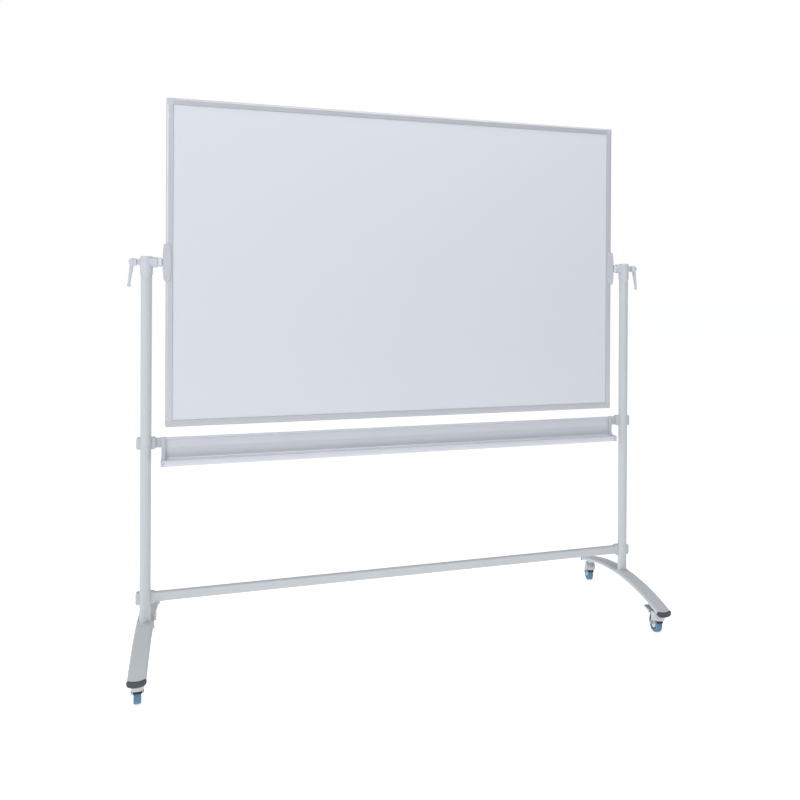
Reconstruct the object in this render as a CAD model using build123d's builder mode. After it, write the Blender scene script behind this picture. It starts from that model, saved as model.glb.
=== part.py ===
from build123d import *
import math
import os

# Mobile revolving whiteboard: a double-sided board that turns over about a
# horizontal axis between two posts, on two arched feet with castors.
# X runs along the board, +Y points away from the writer, Z is up, and the
# origin is on the floor midway between the posts. Millimetres.

os.makedirs("parts", exist_ok=True)

# ---------------------------------------------------------------- dimensions
# Board
board_width = 1800.0
board_height = 1200.0
frame_face = 24.0
frame_depth = 22.0
frame_round = 9.0
frame_wall = 2.0
frame_side = 5.0
panel_bite = 12.0
core_thick = 15.0
sheet_thick = 0.8
corner_round = 7.0
corner_tenon = 25.0
tenon_play = 0.2

# Stand
post_dia = 38.0
post_wall = 1.5
foot_length = 704.0
foot_width = 60.0
foot_thick = 15.0
foot_wall = 2.0
foot_round = 7.0
arch_rise = 54.0
seat_rise = 8.25
base_ring_width = 3.5
base_ring_height = 4.0
spigot_height = 45.0
spigot_wall = 3.4
cap_wall = 1.0
cap_length = 5.0
cap_bow = 10.0
cap_plug = 12.0
base_screw_rise = 8.0
base_screw_angle = 35.0
base_screw_dia = 5.0
base_screw_bite = 8.0
base_screw_head = 2.6

# Pivot tee, bush, shaft and side bracket
tee_wall = 2.5
tee_crown = 3.0
tee_skirt = 27.0
tongue_length = 14.0
tongue_width = 22.0
arm_stand = 16.5
boss_dia = 23.0
boss_stand = 8.5
bush_dia = 24.0
bush_seat = 8.0
bush_flange_dia = 33.0
bush_neck_dia = 29.0
bush_neck = 4.0
bush_flange = 10.0
shaft_dia = 16.0
shaft_head_dia = 22.0
shaft_head = 3.0
bracket_height = 138.0
bracket_width = 30.0
bracket_end_width = 22.0
bracket_proud = 10.0
bracket_boss = 2.6
bracket_cheek = 3.5
bracket_edge = 2.5
bracket_screw_pitch = 76.0
bracket_screw_dia = 4.0
bracket_screw_bite = 6.0
bracket_screw_head = 8.0
bracket_screw_depth = 2.0
bracket_screw_sunk = 1.5

# Clamping lever
stud_dia = 10.0
drum_dia = 16.0
drum_length = 13.0
hub_dia = 27.0
hub_length = 27.0
hub_gap = 3.0
lever_length = 84.0
lever_lean = 10.0
lever_root = 14.0
lever_tip = 9.0
lever_bulb_dia = 12.5
slot_drops = (28.0, 52.0)
slot_width = 4.0
slot_height = 16.0
slot_depth = 4.0
spline_count = 12
spline_dia = 1.6

# Saddle clamps, crossbar and tray
clamp_ear = 13.5
clamp_height = 42.0
clamp_back_wall = 8.0
clamp_round = 6.0
clamp_screw_dia = 6.0
clamp_screw_head = 3.0
clamp_screw_bite = 3.0
crossbar_level = 242.0
crossbar_height = 32.0
crossbar_depth = 25.0
crossbar_wall = 1.5
spigot_reach = 30.0
tray_top = 822.0
tray_clearance = 38.0
tray_arm_drop = 19.0
tray_inset = 2.0
tray_cap = 14.0
tray_high = 80.0
tray_skirt = 18.0
tray_depth = 56.0
tray_wall = 1.8
tray_back = 9.0
tray_lip_rise = 3.4
tray_lip_thick = 4.4
tray_cove = 7.0
tray_bead_dia = 8.0
tray_crease = 0.7
tray_crease_drop = 2.0
arm_height = 36.0
arm_thick = 5.0
arm_lap = 60.0
arm_insert = 14.0

# Castors
wheel_dia = 75.0
wheel_width = 24.0
tread_depth = 10.5
tread_round = 4.0
groove_offset = 4.0
groove_width = 1.2
groove_depth = 0.8
rim_band = 6.5
trail = 28.0
crown_clear = 6.0
crown_thick = 3.0
race_stand = 4.6
race_radius = 18.0
seat_stand = 3.4
castor_inset = 50.0
axle_dia = 8.0
fork_gap = 2.0
fork_sheet = 2.5
stem_dia = 10.0
stem_length = 20.0
stem_flange_radius = 15.0
stem_rivet_radius = 8.0
stem_rivet = 2.5
seat_dia = 34.0
nut_radius = 6.5
nut_thick = 4.5
pedal_behind = 22.0
pedal_tail = 50.0
pedal_drop = 0.5
pedal_pin_drop = 7.0
pedal_pin_radius = 2.0
castor_yaw = {"front_left": 5.0, "front_right": -5.0, "rear_left": 8.0, "rear_right": -12.0}

# Fits
running_fit = 0.05
slip_fit = 0.1
side_gap = 0.4

# ------------------------------------------------------------ derived places
post_radius = post_dia / 2
tee_radius = post_radius + tee_wall
arm_dia = post_dia
arm_reach = tee_radius + arm_stand
boss_reach = tee_radius + boss_stand
tee_above = arm_dia / 2 + tee_crown
tee_below = arm_dia / 2 + tee_skirt
bush_end = arm_reach + bush_neck + bush_flange
post_x = board_width / 2 + bracket_proud + bracket_boss + side_gap + bush_end
pivot_height = tray_top + tray_clearance + board_height / 2
panel_thick = core_thick + 2 * sheet_thick
panel_inset = frame_face - panel_bite
castor_height = wheel_dia + crown_clear + crown_thick + race_stand + seat_stand
castor_y = foot_length / 2 - castor_inset
arch_sag = arch_rise * (castor_y / (foot_length / 2)) ** 2
arch_top = castor_height + seat_rise + arch_sag + foot_thick
arch_radius = ((foot_length / 2) ** 2 + arch_rise**2) / (2 * arch_rise)
arch_mid = arch_top - foot_thick / 2
arch_centre = arch_mid - arch_radius
post_foot = arch_top + base_ring_height
post_head = pivot_height - bush_dia / 2 - bush_seat
clamp_width = post_dia + 2 * clamp_ear
clamp_depth = post_radius + clamp_back_wall
clamp_inner = post_x - clamp_width / 2
tray_level = tray_top - tray_arm_drop
tray_length = board_width - 2 * tray_inset
tray_floor = tray_top - tray_high
tray_bottom = tray_floor - tray_skirt
sides = {"left": -1, "right": 1}


def save(piece, name):
    """Label a finished piece and write it as one STEP file."""
    piece.label = name
    export_step(piece, f"parts/{name}.step")


def along_x(x, y, z, direction=1):
    """Sketch plane facing along X, for shafts, bores and bosses."""
    return Plane(origin=(x, y, z), x_dir=(0, direction, 0), z_dir=(direction, 0, 0))


def facing_front(y):
    """Sketch plane seen from the front: its x is X, its y is Z, it extrudes to +Y."""
    return Plane(origin=(0, y, 0), x_dir=(1, 0, 0), z_dir=(0, -1, 0))


def both_sides(piece, name):
    """Write a left-hand piece and its mirror image."""
    save(piece, f"{name}_left")
    save(mirror(piece, about=Plane.YZ), f"{name}_right")


# ------------------------------------------------------------------- board
panel_width = board_width - 2 * panel_inset
panel_height = board_height - 2 * panel_inset

# Light fibre core, with an enamelled steel sheet bonded to each face.
with BuildPart() as board_core:
    with BuildSketch(facing_front(core_thick / 2)) as core_outline:
        with Locations((0, pivot_height)):
            Rectangle(panel_width, panel_height)
    extrude(amount=core_thick)
save(board_core.part, "board_core")

with BuildPart() as front_sheet:
    with BuildSketch(facing_front(-core_thick / 2)) as sheet_outline:
        with Locations((0, pivot_height)):
            Rectangle(panel_width, panel_height)
    extrude(amount=sheet_thick)
save(front_sheet.part, "writing_sheet_front")
save(mirror(front_sheet.part, about=Plane.XZ), "writing_sheet_back")


chamber_high = frame_face - panel_bite - 2 * frame_wall
chamber_deep = frame_depth - 2 * frame_side


def frame_rail(length):
    """One extruded frame rail, running along X, its outer edge at z = 0."""
    with BuildPart() as rail:
        with BuildSketch(along_x(-length / 2, 0, 0)) as section:
            with Locations((0, -frame_face / 2)):
                Rectangle(frame_depth, frame_face)
            outer = section.vertices().group_by(Axis.Y)[-1]
            fillet(outer, frame_round)
            with Locations((0, -frame_face + panel_bite / 2)):
                Rectangle(panel_thick, panel_bite, mode=Mode.SUBTRACT)
            with Locations((0, -frame_wall - chamber_high / 2)):
                Rectangle(chamber_deep, chamber_high, mode=Mode.SUBTRACT)
        extrude(amount=length)
    return rail.part


rail_across = frame_rail(board_width - 2 * frame_face)
rail_upright = frame_rail(board_height - 2 * frame_face)
board_top = pivot_height + board_height / 2
board_bottom = pivot_height - board_height / 2
save(Location((0, 0, board_top)) * rail_across, "frame_rail_top")
save(Location((0, 0, board_bottom), (180, 0, 0)) * rail_across, "frame_rail_bottom")
with BuildPart() as side_rail:
    add(Location((-board_width / 2, 0, pivot_height), (0, -90, 0)) * rail_upright)
    with BuildSketch(along_x(-board_width / 2, 0, pivot_height)) as rail_screw_holes:
        with Locations((0, -bracket_screw_pitch / 2), (0, bracket_screw_pitch / 2)):
            Circle(bracket_screw_dia / 2)
    extrude(amount=bracket_screw_bite, mode=Mode.SUBTRACT)
both_sides(side_rail.part, "frame_rail")

# Moulded corner: a rounded block with a tenon up each neighbouring rail.
tenon_wide = chamber_deep - 2 * tenon_play
tenon_high = chamber_high - 2 * tenon_play
tenon_mid = frame_wall + chamber_high / 2
with BuildPart() as corner:
    with BuildSketch(facing_front(frame_depth / 2)) as corner_outline:
        with Locations((-frame_face / 2, -frame_face / 2)):
            Rectangle(frame_face, frame_face)
        outer_point = corner_outline.vertices().sort_by(lambda v: v.X + v.Y)[-1]
        fillet(outer_point, corner_round)
    extrude(amount=frame_depth)
    face_edges = corner.edges().group_by(Axis.Y)[0] + corner.edges().group_by(Axis.Y)[-1]
    outer_edges = [e for e in face_edges if e.center().X + e.center().Z > -1.3 * frame_face]
    fillet(outer_edges, corner_round - 1.0)
    with BuildSketch(facing_front(panel_thick / 2)) as panel_pocket:
        with Locations((-frame_face + panel_bite / 2, -frame_face + panel_bite / 2)):
            Rectangle(panel_bite, panel_bite)
    extrude(amount=panel_thick, mode=Mode.SUBTRACT)
    with BuildSketch(along_x(-frame_face, 0, -tenon_mid, -1)) as tenon_across:
        Rectangle(tenon_wide, tenon_high)
    extrude(amount=corner_tenon)
    with BuildSketch(Plane.XY.offset(-frame_face)) as tenon_down:
        with Locations((-tenon_mid, 0)):
            Rectangle(tenon_high, tenon_wide)
    extrude(amount=-corner_tenon)

corner_turns = [(1, 1, 0), (1, -1, 90), (-1, -1, 180), (-1, 1, 270)]
corner_group = []
for sx, sz, turn in corner_turns:
    spot = Location((sx * board_width / 2, 0, pivot_height + sz * board_height / 2), (0, turn, 0))
    corner_group.append(spot * corner.part)
save(Compound(children=corner_group), "frame_corners")

# ------------------------------------------------- pivot bracket and shaft
bracket_outer = board_width / 2 + bracket_proud
bracket_inner = bracket_outer - bracket_width
bracket_half = bracket_height / 2
bracket_middle = bracket_outer - bracket_width / 2
bracket_thick = frame_depth + 2 * bracket_cheek
end_half = bracket_end_width / 2
boss_face = post_x - bush_end - side_gap
boss_root = bracket_outer - bracket_boss - 1.4
through_bracket = 2 * bracket_proud
screw_seat = bracket_outer - bracket_screw_depth - bracket_screw_sunk

with BuildPart() as bracket:
    with BuildSketch(facing_front(bracket_thick / 2)) as boat:
        with BuildLine() as boat_line:
            out_top = (-bracket_middle - end_half, pivot_height + bracket_half)
            out_low = (-bracket_middle - end_half, pivot_height - bracket_half)
            in_top = (-bracket_middle + end_half, pivot_height + bracket_half)
            in_low = (-bracket_middle + end_half, pivot_height - bracket_half)
            ThreePointArc(out_top, (-bracket_outer, pivot_height), out_low)
            Line(out_low, in_low)
            ThreePointArc(in_low, (-bracket_inner, pivot_height), in_top)
            Line(in_top, out_top)
        make_face()
        fillet(boat.vertices(), end_half - 0.8)
    extrude(amount=bracket_thick)
    cheek_edges = bracket.edges().group_by(Axis.Y)[0] + bracket.edges().group_by(Axis.Y)[-1]
    fillet(cheek_edges, bracket_edge)
    with BuildSketch(along_x(-boss_root, 0, pivot_height, -1)) as boss_ring:
        Circle(bush_dia / 2)
    extrude(amount=boss_face - boss_root)
    with BuildSketch(along_x(-board_width / 2, 0, pivot_height)) as rail_slot:
        Rectangle(frame_depth, bracket_height)
    extrude(amount=frame_face, mode=Mode.SUBTRACT)
    with BuildSketch(along_x(-board_width / 2, 0, pivot_height, -1)) as shaft_hole:
        Circle(shaft_dia / 2)
    extrude(amount=through_bracket, mode=Mode.SUBTRACT)
    with BuildSketch(along_x(-board_width / 2, 0, pivot_height, -1)) as head_recess:
        Circle(shaft_head_dia / 2)
    extrude(amount=shaft_head, mode=Mode.SUBTRACT)
    with BuildSketch(along_x(-board_width / 2, 0, pivot_height, -1)) as screw_holes:
        with Locations((0, -bracket_screw_pitch / 2), (0, bracket_screw_pitch / 2)):
            Circle(bracket_screw_dia / 2)
    extrude(amount=through_bracket, mode=Mode.SUBTRACT)
    with BuildSketch(along_x(-screw_seat, 0, pivot_height, -1)) as head_recesses:
        with Locations((0, -bracket_screw_pitch / 2), (0, bracket_screw_pitch / 2)):
            Circle(bracket_screw_head / 2 + slip_fit)
    extrude(amount=bracket_proud, mode=Mode.SUBTRACT)
both_sides(bracket.part, "pivot_bracket")

# Flush screws that hold each bracket to its rail.
with BuildPart() as bracket_screws:
    for side in sides.values():
        shank_start = along_x(side * (board_width / 2 - bracket_screw_bite), 0, pivot_height, side)
        with BuildSketch(shank_start) as screw_core:
            with Locations((0, -bracket_screw_pitch / 2), (0, bracket_screw_pitch / 2)):
                Circle(bracket_screw_dia / 2)
        extrude(amount=screw_seat - board_width / 2 + bracket_screw_bite)
        with BuildSketch(along_x(side * screw_seat, 0, pivot_height, side)) as screw_head:
            with Locations((0, -bracket_screw_pitch / 2), (0, bracket_screw_pitch / 2)):
                Circle(bracket_screw_head / 2)
        extrude(amount=bracket_screw_depth)
save(bracket_screws.part, "bracket_screws")

shaft_tip = post_x + 0.75 * bush_seat
with BuildPart() as pivot_shaft:
    with BuildSketch(along_x(-board_width / 2, 0, pivot_height, -1)) as shaft_head_disc:
        Circle(shaft_head_dia / 2)
    extrude(amount=shaft_head)
    with BuildSketch(along_x(-board_width / 2, 0, pivot_height, -1)) as shaft_round:
        Circle(shaft_dia / 2)
    extrude(amount=shaft_tip - board_width / 2)
    chamfer(pivot_shaft.edges().group_by(Axis.X)[0], 1.0)
both_sides(pivot_shaft.part, "pivot_shaft")

# ------------------------------------------------------------- post-top tee
tee_bottom = pivot_height - tee_below - tongue_length
skirt_level = pivot_height - tee_below
clear_of_tee = tee_radius + 1.0
with BuildPart() as tee:
    with BuildSketch(Plane.XY.offset(tee_bottom)) as tee_column:
        with Locations((-post_x, 0)):
            Circle(tee_radius)
    extrude(amount=tee_above + tee_below + tongue_length)
    fillet(tee.edges().group_by(Axis.Z)[-1], 5.0)
    with BuildSketch(along_x(-post_x, 0, pivot_height)) as tee_arm:
        Circle(arm_dia / 2)
    extrude(amount=arm_reach)
    chamfer(tee.edges().group_by(Axis.X)[-1], 1.2)
    with BuildSketch(along_x(-post_x, 0, pivot_height, -1)) as tee_boss:
        Circle(boss_dia / 2)
    extrude(amount=boss_reach)
    chamfer(tee.edges().group_by(Axis.X)[0], 1.0)
    with BuildSketch(facing_front(-clear_of_tee)) as skirt_front:
        with Locations((-post_x, tee_bottom)):
            Rectangle(2 * clear_of_tee, 2 * tongue_length)
        with Locations((-post_x, tee_bottom + tongue_width / 2)):
            Circle(tongue_width / 2, mode=Mode.SUBTRACT)
        with Locations((-post_x, skirt_level)):
            Rectangle(tongue_width, tongue_length, mode=Mode.SUBTRACT)
    extrude(amount=-clear_of_tee, mode=Mode.SUBTRACT)
    with BuildSketch(facing_front(0)) as skirt_back:
        with Locations((-post_x, tee_bottom)):
            Rectangle(2 * clear_of_tee, 2 * tongue_length)
    extrude(amount=-clear_of_tee, mode=Mode.SUBTRACT)
    with BuildSketch(Plane.XY.offset(tee_bottom)) as post_socket:
        with Locations((-post_x, 0)):
            Circle(post_radius + slip_fit)
    extrude(amount=post_head - tee_bottom, mode=Mode.SUBTRACT)
    with BuildSketch(along_x(-post_x - bush_seat, 0, pivot_height)) as bush_bore:
        Circle(bush_dia / 2)
    extrude(amount=bush_seat + arm_reach, mode=Mode.SUBTRACT)
    with BuildSketch(along_x(-post_x, 0, pivot_height, -1)) as stud_bore:
        Circle(stud_dia / 2 + running_fit)
    extrude(amount=boss_reach, mode=Mode.SUBTRACT)
both_sides(tee.part, "pivot_tee")

with BuildPart() as bush:
    with BuildSketch(along_x(-post_x - bush_seat, 0, pivot_height)) as bush_body:
        Circle(bush_dia / 2)
    extrude(amount=bush_seat + arm_reach)
    with BuildSketch(along_x(-post_x + arm_reach, 0, pivot_height)) as bush_neck_ring:
        Circle(bush_neck_dia / 2)
    extrude(amount=bush_neck)
    with BuildSketch(along_x(-post_x + arm_reach + bush_neck, 0, pivot_height)) as bush_collar:
        Circle(bush_flange_dia / 2)
    extrude(amount=bush_flange)
    fillet(bush.edges().group_by(Axis.X)[-1], 1.0)
    with BuildSketch(along_x(-post_x - bush_seat, 0, pivot_height)) as bush_hole:
        Circle(shaft_dia / 2 + running_fit)
    extrude(amount=bush_seat + bush_end, mode=Mode.SUBTRACT)
save(Compound(children=[bush.part, mirror(bush.part, about=Plane.YZ)]), "pivot_bushes")

# ---------------------------------------------------------- clamping levers
hub_start = post_x + boss_reach + hub_gap
hub_end = hub_start + hub_length
drum_start = hub_start + 0.5
stud_tip = post_x + bush_seat - side_gap
with BuildPart() as lever_stud:
    with BuildSketch(along_x(-stud_tip, 0, pivot_height, -1)) as stud_round:
        Circle(stud_dia / 2)
    extrude(amount=drum_start - stud_tip)
    with BuildSketch(along_x(-drum_start, 0, pivot_height, -1)) as drum_round:
        Circle(drum_dia / 2)
    extrude(amount=drum_length)
    with BuildSketch(along_x(-drum_start, 0, pivot_height, -1)) as splines:
        with PolarLocations(drum_dia / 2, spline_count):
            Circle(spline_dia / 2)
    extrude(amount=drum_length, mode=Mode.SUBTRACT)
both_sides(lever_stud.part, "lever_stud")

cavity_end = drum_start + drum_length + 6.0
lever_top_x = hub_end - hub_length / 2 + 3.0
lever_tip_x = lever_top_x + lever_lean
with BuildPart() as lever_handle:
    with BuildSketch(along_x(-hub_start, 0, pivot_height, -1)) as hub_round:
        Circle(hub_dia / 2)
    extrude(amount=hub_length)
    fillet(lever_handle.edges().group_by(Axis.X)[0], 9.0)
    chamfer(lever_handle.edges().group_by(Axis.X)[-1], 1.0)
    with BuildSketch(Plane.XY.offset(pivot_height - 8)) as lever_thick_end:
        with Locations((-lever_top_x, 0)):
            RectangleRounded(lever_root, lever_root, 4.0)
    with BuildSketch(Plane.XY.offset(pivot_height - lever_length + 4)) as lever_thin_end:
        with Locations((-lever_tip_x, 0)):
            RectangleRounded(lever_tip, lever_tip, 3.0)
    loft()
    with Locations((-lever_tip_x, 0, pivot_height - lever_length)):
        Sphere(lever_bulb_dia / 2)
    with BuildSketch(along_x(-hub_start, 0, pivot_height, -1)) as drum_cavity:
        Circle(drum_dia / 2 + running_fit)
    extrude(amount=cavity_end - hub_start, mode=Mode.SUBTRACT)
    for drop in slot_drops:
        slot_plane = along_x(-lever_top_x + lever_root / 2 + 3, 0, pivot_height - drop, -1)
        with BuildSketch(slot_plane) as slot:
            Rectangle(slot_width, slot_height)
        slot_floor = slot_depth + 3.0 + drop * lever_lean / lever_length
        extrude(amount=slot_floor, mode=Mode.SUBTRACT)
both_sides(lever_handle.part, "lever_handle")

# -------------------------------------------------------------------- posts
base_turn = math.radians(base_screw_angle)
base_plane = Plane(
    origin=(-post_x, 0, post_foot + base_screw_rise),
    x_dir=(0, 0, 1),
    z_dir=(math.sin(base_turn), -math.cos(base_turn), 0),
)

with BuildPart() as post:
    with BuildSketch(Plane.XY.offset(post_foot)) as post_section:
        with Locations((-post_x, 0)):
            Circle(post_radius)
            Circle(post_radius - post_wall, mode=Mode.SUBTRACT)
    extrude(amount=post_head - post_foot)
    with BuildSketch(base_plane) as base_hole:
        Circle(base_screw_dia / 2)
    extrude(amount=post_dia, mode=Mode.SUBTRACT)
    for level in (crossbar_level, tray_level):
        with BuildSketch(facing_front(0)) as clamp_hole:
            with Locations((-post_x, level)):
                Circle(clamp_screw_dia / 2)
        extrude(amount=-post_dia, mode=Mode.SUBTRACT)
both_sides(post.part, "post")

with BuildPart() as base_screw:
    with BuildSketch(base_plane.offset(post_radius - post_wall - base_screw_bite)) as base_shank:
        Circle(base_screw_dia / 2)
    extrude(amount=post_wall + base_screw_bite)
    with BuildSketch(base_plane.offset(post_radius)) as base_head:
        Circle(base_screw_dia)
    extrude(amount=base_screw_head)
base_screws = Compound(children=[base_screw.part, mirror(base_screw.part, about=Plane.YZ)])
save(base_screws, "post_base_screws")


# --------------------------------------------------------------------- feet
def arch_bar(width, thick, rounding, reach, x=-post_x):
    """Solid arched bar along Y through the top of one foot, out to +-reach."""
    turn = math.asin(reach / arch_radius)
    start = Plane(
        origin=(x, -reach, arch_centre + arch_radius * math.cos(turn)),
        x_dir=(1, 0, 0),
        z_dir=(0, math.cos(turn), math.sin(turn)),
    )
    with BuildPart() as bar:
        with BuildSketch(start) as bar_section:
            RectangleRounded(width, thick, rounding)
        arch_axis = Axis((x, 0, arch_centre), (-1, 0, 0))
        revolve(axis=arch_axis, revolution_arc=math.degrees(2 * turn))
    return bar.part


nose = foot_length / 2
cap_width = foot_width + 2 * cap_wall
cap_thick = foot_thick + 2 * cap_wall
bow_radius = ((cap_width / 2) ** 2 + cap_bow**2) / (2 * cap_bow)
hollow_width = foot_width - 2 * foot_wall
hollow_thick = foot_thick - 2 * foot_wall
hollow_round = foot_round - foot_wall


def bow_ended(setback):
    """Upright prism over one foot, with bowed ends set back from its two noses."""
    bow_span = 2 * (nose - setback - bow_radius)
    with BuildPart() as prism:
        with BuildSketch(Plane.XY) as prism_outline:
            with Locations((-post_x, 0)):
                SlotCenterToCenter(bow_span, 2 * bow_radius, rotation=90)
        extrude(amount=2 * arch_top)
    return prism.part


foot_solid = arch_bar(foot_width, foot_thick, foot_round, nose + cap_bow)
foot_solid = foot_solid & bow_ended(cap_length)
foot_hollow = arch_bar(hollow_width, hollow_thick, hollow_round, nose + cap_bow)
cap_solid = arch_bar(cap_width, cap_thick, foot_round + cap_wall, nose + cap_bow)

with BuildPart() as foot:
    add(foot_solid)
    add(foot_hollow, mode=Mode.SUBTRACT)
    with BuildSketch(Plane.XY.offset(castor_height)) as stem_bosses:
        with Locations((-post_x, castor_y), (-post_x, -castor_y)):
            Circle(stem_dia)
    stem_boss = extrude(amount=2 * foot_thick, mode=Mode.PRIVATE)
    add(stem_boss & foot_solid)
    with BuildSketch(Plane.XY.offset(castor_height)) as stem_holes:
        with Locations((-post_x, castor_y), (-post_x, -castor_y)):
            Circle(stem_dia / 2 + slip_fit)
    extrude(amount=stem_length + 1, mode=Mode.SUBTRACT)
    with BuildSketch(Plane.XY.offset(arch_top - foot_wall)) as ring:
        with Locations((-post_x, 0)):
            Circle(post_radius + base_ring_width)
    extrude(amount=base_ring_height + foot_wall)
    with BuildSketch(Plane.XY.offset(post_foot)) as spigot:
        with Locations((-post_x, 0)):
            Circle(post_radius - post_wall - slip_fit)
            Circle(post_radius - post_wall - slip_fit - spigot_wall, mode=Mode.SUBTRACT)
    extrude(amount=spigot_height)
    with BuildSketch(base_plane) as base_thread:
        Circle(base_screw_dia / 2)
    extrude(amount=post_radius, mode=Mode.SUBTRACT)
both_sides(foot.part, "foot")

# Bow-ended caps closed over the tube ends, each with a plug inside the tube.
plug_width = hollow_width - 2 * slip_fit
plug_thick = hollow_thick - 2 * slip_fit
plug_solid = arch_bar(plug_width, plug_thick, hollow_round - slip_fit, nose + cap_bow)
cap_noses = (cap_solid & bow_ended(0)) - bow_ended(cap_length)
cap_plugs = (plug_solid & bow_ended(1)) - bow_ended(cap_length + cap_plug)
with BuildPart() as foot_cap:
    add(cap_noses)
    add(cap_plugs)
caps = foot_cap.part.solids() + mirror(foot_cap.part, about=Plane.YZ).solids()
save(Compound(children=caps), "foot_caps")

# Wedge washers that level each castor under the sloping tube.
with BuildPart() as seat:
    with BuildSketch(Plane.XY.offset(castor_height)) as seat_disc:
        with Locations((-post_x, -castor_y)):
            Circle(seat_dia / 2)
            Circle(stem_dia / 2 + slip_fit, mode=Mode.SUBTRACT)
    extrude(amount=foot_thick)
    add(foot_solid, mode=Mode.SUBTRACT)
    add(foot_cap.part, mode=Mode.SUBTRACT)
seat_low = seat.part.solids().sort_by(Axis.Z)[0]
seat_pair = [Part(seat_low.wrapped), mirror(Part(seat_low.wrapped), about=Plane.XZ)]
seats = seat_pair + [mirror(s, about=Plane.YZ) for s in seat_pair]
save(Compound(children=seats), "castor_wedges")


# ------------------------------------------------- saddle clamps, crossbar
def saddle_clamp(level):
    """Clamp block behind the left post, with rounded ears each side of it."""
    with BuildPart() as clamp:
        with BuildSketch(facing_front(0)) as clamp_face:
            with Locations((-post_x, level)):
                RectangleRounded(clamp_width, clamp_height, clamp_round)
        extrude(amount=-clamp_depth)
        rear = clamp.edges().group_by(Axis.Y)[-1]
        fillet(rear, 3.0)
        with BuildSketch(Plane.XY.offset(level - clamp_height)) as post_seat:
            with Locations((-post_x, 0)):
                Circle(post_radius + slip_fit)
        extrude(amount=2 * clamp_height, mode=Mode.SUBTRACT)
        with BuildSketch(facing_front(0)) as screw_way:
            with Locations((-post_x, level)):
                Circle(clamp_screw_dia / 2)
        extrude(amount=-clamp_depth, mode=Mode.SUBTRACT)
    return clamp.part


bar_middle = clamp_depth / 2 + 0.5
bar_inner_height = crossbar_height - 2 * crossbar_wall
bar_inner_depth = crossbar_depth - 2 * crossbar_wall
with BuildPart() as crossbar_clamp:
    add(saddle_clamp(crossbar_level))
    with BuildSketch(along_x(-clamp_inner, bar_middle, crossbar_level)) as bar_spigot:
        spigot_thick = bar_inner_depth - 2 * slip_fit
        spigot_tall = bar_inner_height - 2 * slip_fit
        RectangleRounded(spigot_thick, spigot_tall, 1.0)
    extrude(amount=spigot_reach)
both_sides(crossbar_clamp.part, "crossbar_clamp")

with BuildPart() as crossbar:
    with BuildSketch(along_x(-clamp_inner, bar_middle, crossbar_level)) as bar_section:
        RectangleRounded(crossbar_depth, crossbar_height, 3.0)
        RectangleRounded(bar_inner_depth, bar_inner_height, 1.0, mode=Mode.SUBTRACT)
    extrude(amount=2 * clamp_inner)
save(crossbar.part, "crossbar")

arm_middle = tray_back + arm_thick / 2
slot_start = clamp_inner + arm_insert
with BuildPart() as tray_clamp:
    add(saddle_clamp(tray_level))
    with BuildSketch(along_x(-slot_start, arm_middle, tray_level)) as arm_slot:
        Rectangle(arm_thick, arm_height)
    extrude(amount=arm_insert, mode=Mode.SUBTRACT)
both_sides(tray_clamp.part, "tray_clamp")

tray_half = tray_length / 2
with BuildPart() as tray_arm:
    with BuildSketch(along_x(-clamp_inner, arm_middle, tray_level)) as arm_section:
        RectangleRounded(arm_thick, arm_height, 1.0)
    extrude(amount=clamp_inner - tray_half + arm_lap)
    with BuildSketch(along_x(-clamp_inner, arm_middle, tray_level, -1)) as arm_tongue:
        Rectangle(arm_thick, arm_height - 2.0)
    extrude(amount=arm_insert - 2.0)
tray_arms = Compound(children=[tray_arm.part, mirror(tray_arm.part, about=Plane.YZ)])
save(tray_arms, "tray_arms")

clamp_screw_start = post_radius - post_wall - clamp_screw_bite
with BuildPart() as clamp_screw:
    for level in (crossbar_level, tray_level):
        with BuildSketch(facing_front(clamp_screw_start)) as clamp_shank:
            with Locations((-post_x, level)):
                Circle(clamp_screw_dia / 2)
        extrude(amount=clamp_screw_start - clamp_depth)
        with BuildSketch(facing_front(clamp_depth)) as clamp_head:
            with Locations((-post_x, level)):
                Circle(clamp_screw_dia)
        extrude(amount=-clamp_screw_head)
clamp_screws = clamp_screw.part.solids() + mirror(clamp_screw.part, about=Plane.YZ).solids()
save(Compound(children=clamp_screws), "clamp_screws")

# ----------------------------------------------------------------- pen tray
wall_face = tray_back - tray_wall
lip_face = tray_back - tray_depth
lip_top = tray_floor + tray_lip_rise
lip_radius = tray_lip_thick / 2
bead_radius = tray_bead_dia / 2
cove_toe = wall_face - tray_cove
cove_bend = tray_cove * (1 - math.sqrt(0.5))
with BuildPart() as tray:
    with BuildSketch(along_x(-tray_half, 0, 0)) as tray_section:
        with Locations((tray_back - tray_wall / 2, (tray_top + tray_floor) / 2)):
            Rectangle(tray_wall, tray_top - tray_floor - bead_radius)
        with Locations((tray_back - bead_radius, tray_top - bead_radius)):
            Circle(bead_radius)
        with Locations((tray_back - tray_depth / 2, tray_floor - tray_wall / 2)):
            Rectangle(tray_depth, tray_wall)
        with Locations((lip_face + tray_wall / 2, (tray_floor + tray_bottom) / 2)):
            Rectangle(tray_wall, tray_skirt)
        with Locations((lip_face + lip_radius, tray_bottom + lip_radius)):
            Circle(lip_radius)
        with Locations((lip_face + lip_radius, lip_top - tray_lip_thick)):
            RectangleRounded(tray_lip_thick, 2 * tray_lip_thick, lip_radius - 0.5)
        with BuildLine() as cove_line:
            Polyline(
                (wall_face, tray_floor + tray_cove),
                (tray_back, tray_floor + tray_cove),
                (tray_back, tray_floor - tray_wall),
                (cove_toe, tray_floor - tray_wall),
                (cove_toe, tray_floor),
            )
            ThreePointArc(
                (cove_toe, tray_floor),
                (cove_toe + tray_cove - cove_bend, tray_floor + cove_bend),
                (wall_face, tray_floor + tray_cove),
            )
        make_face()
        with Locations((wall_face, (tray_top + tray_floor) / 2 - tray_crease_drop)):
            Circle(tray_crease, mode=Mode.SUBTRACT)
    extrude(amount=tray_length)
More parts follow.
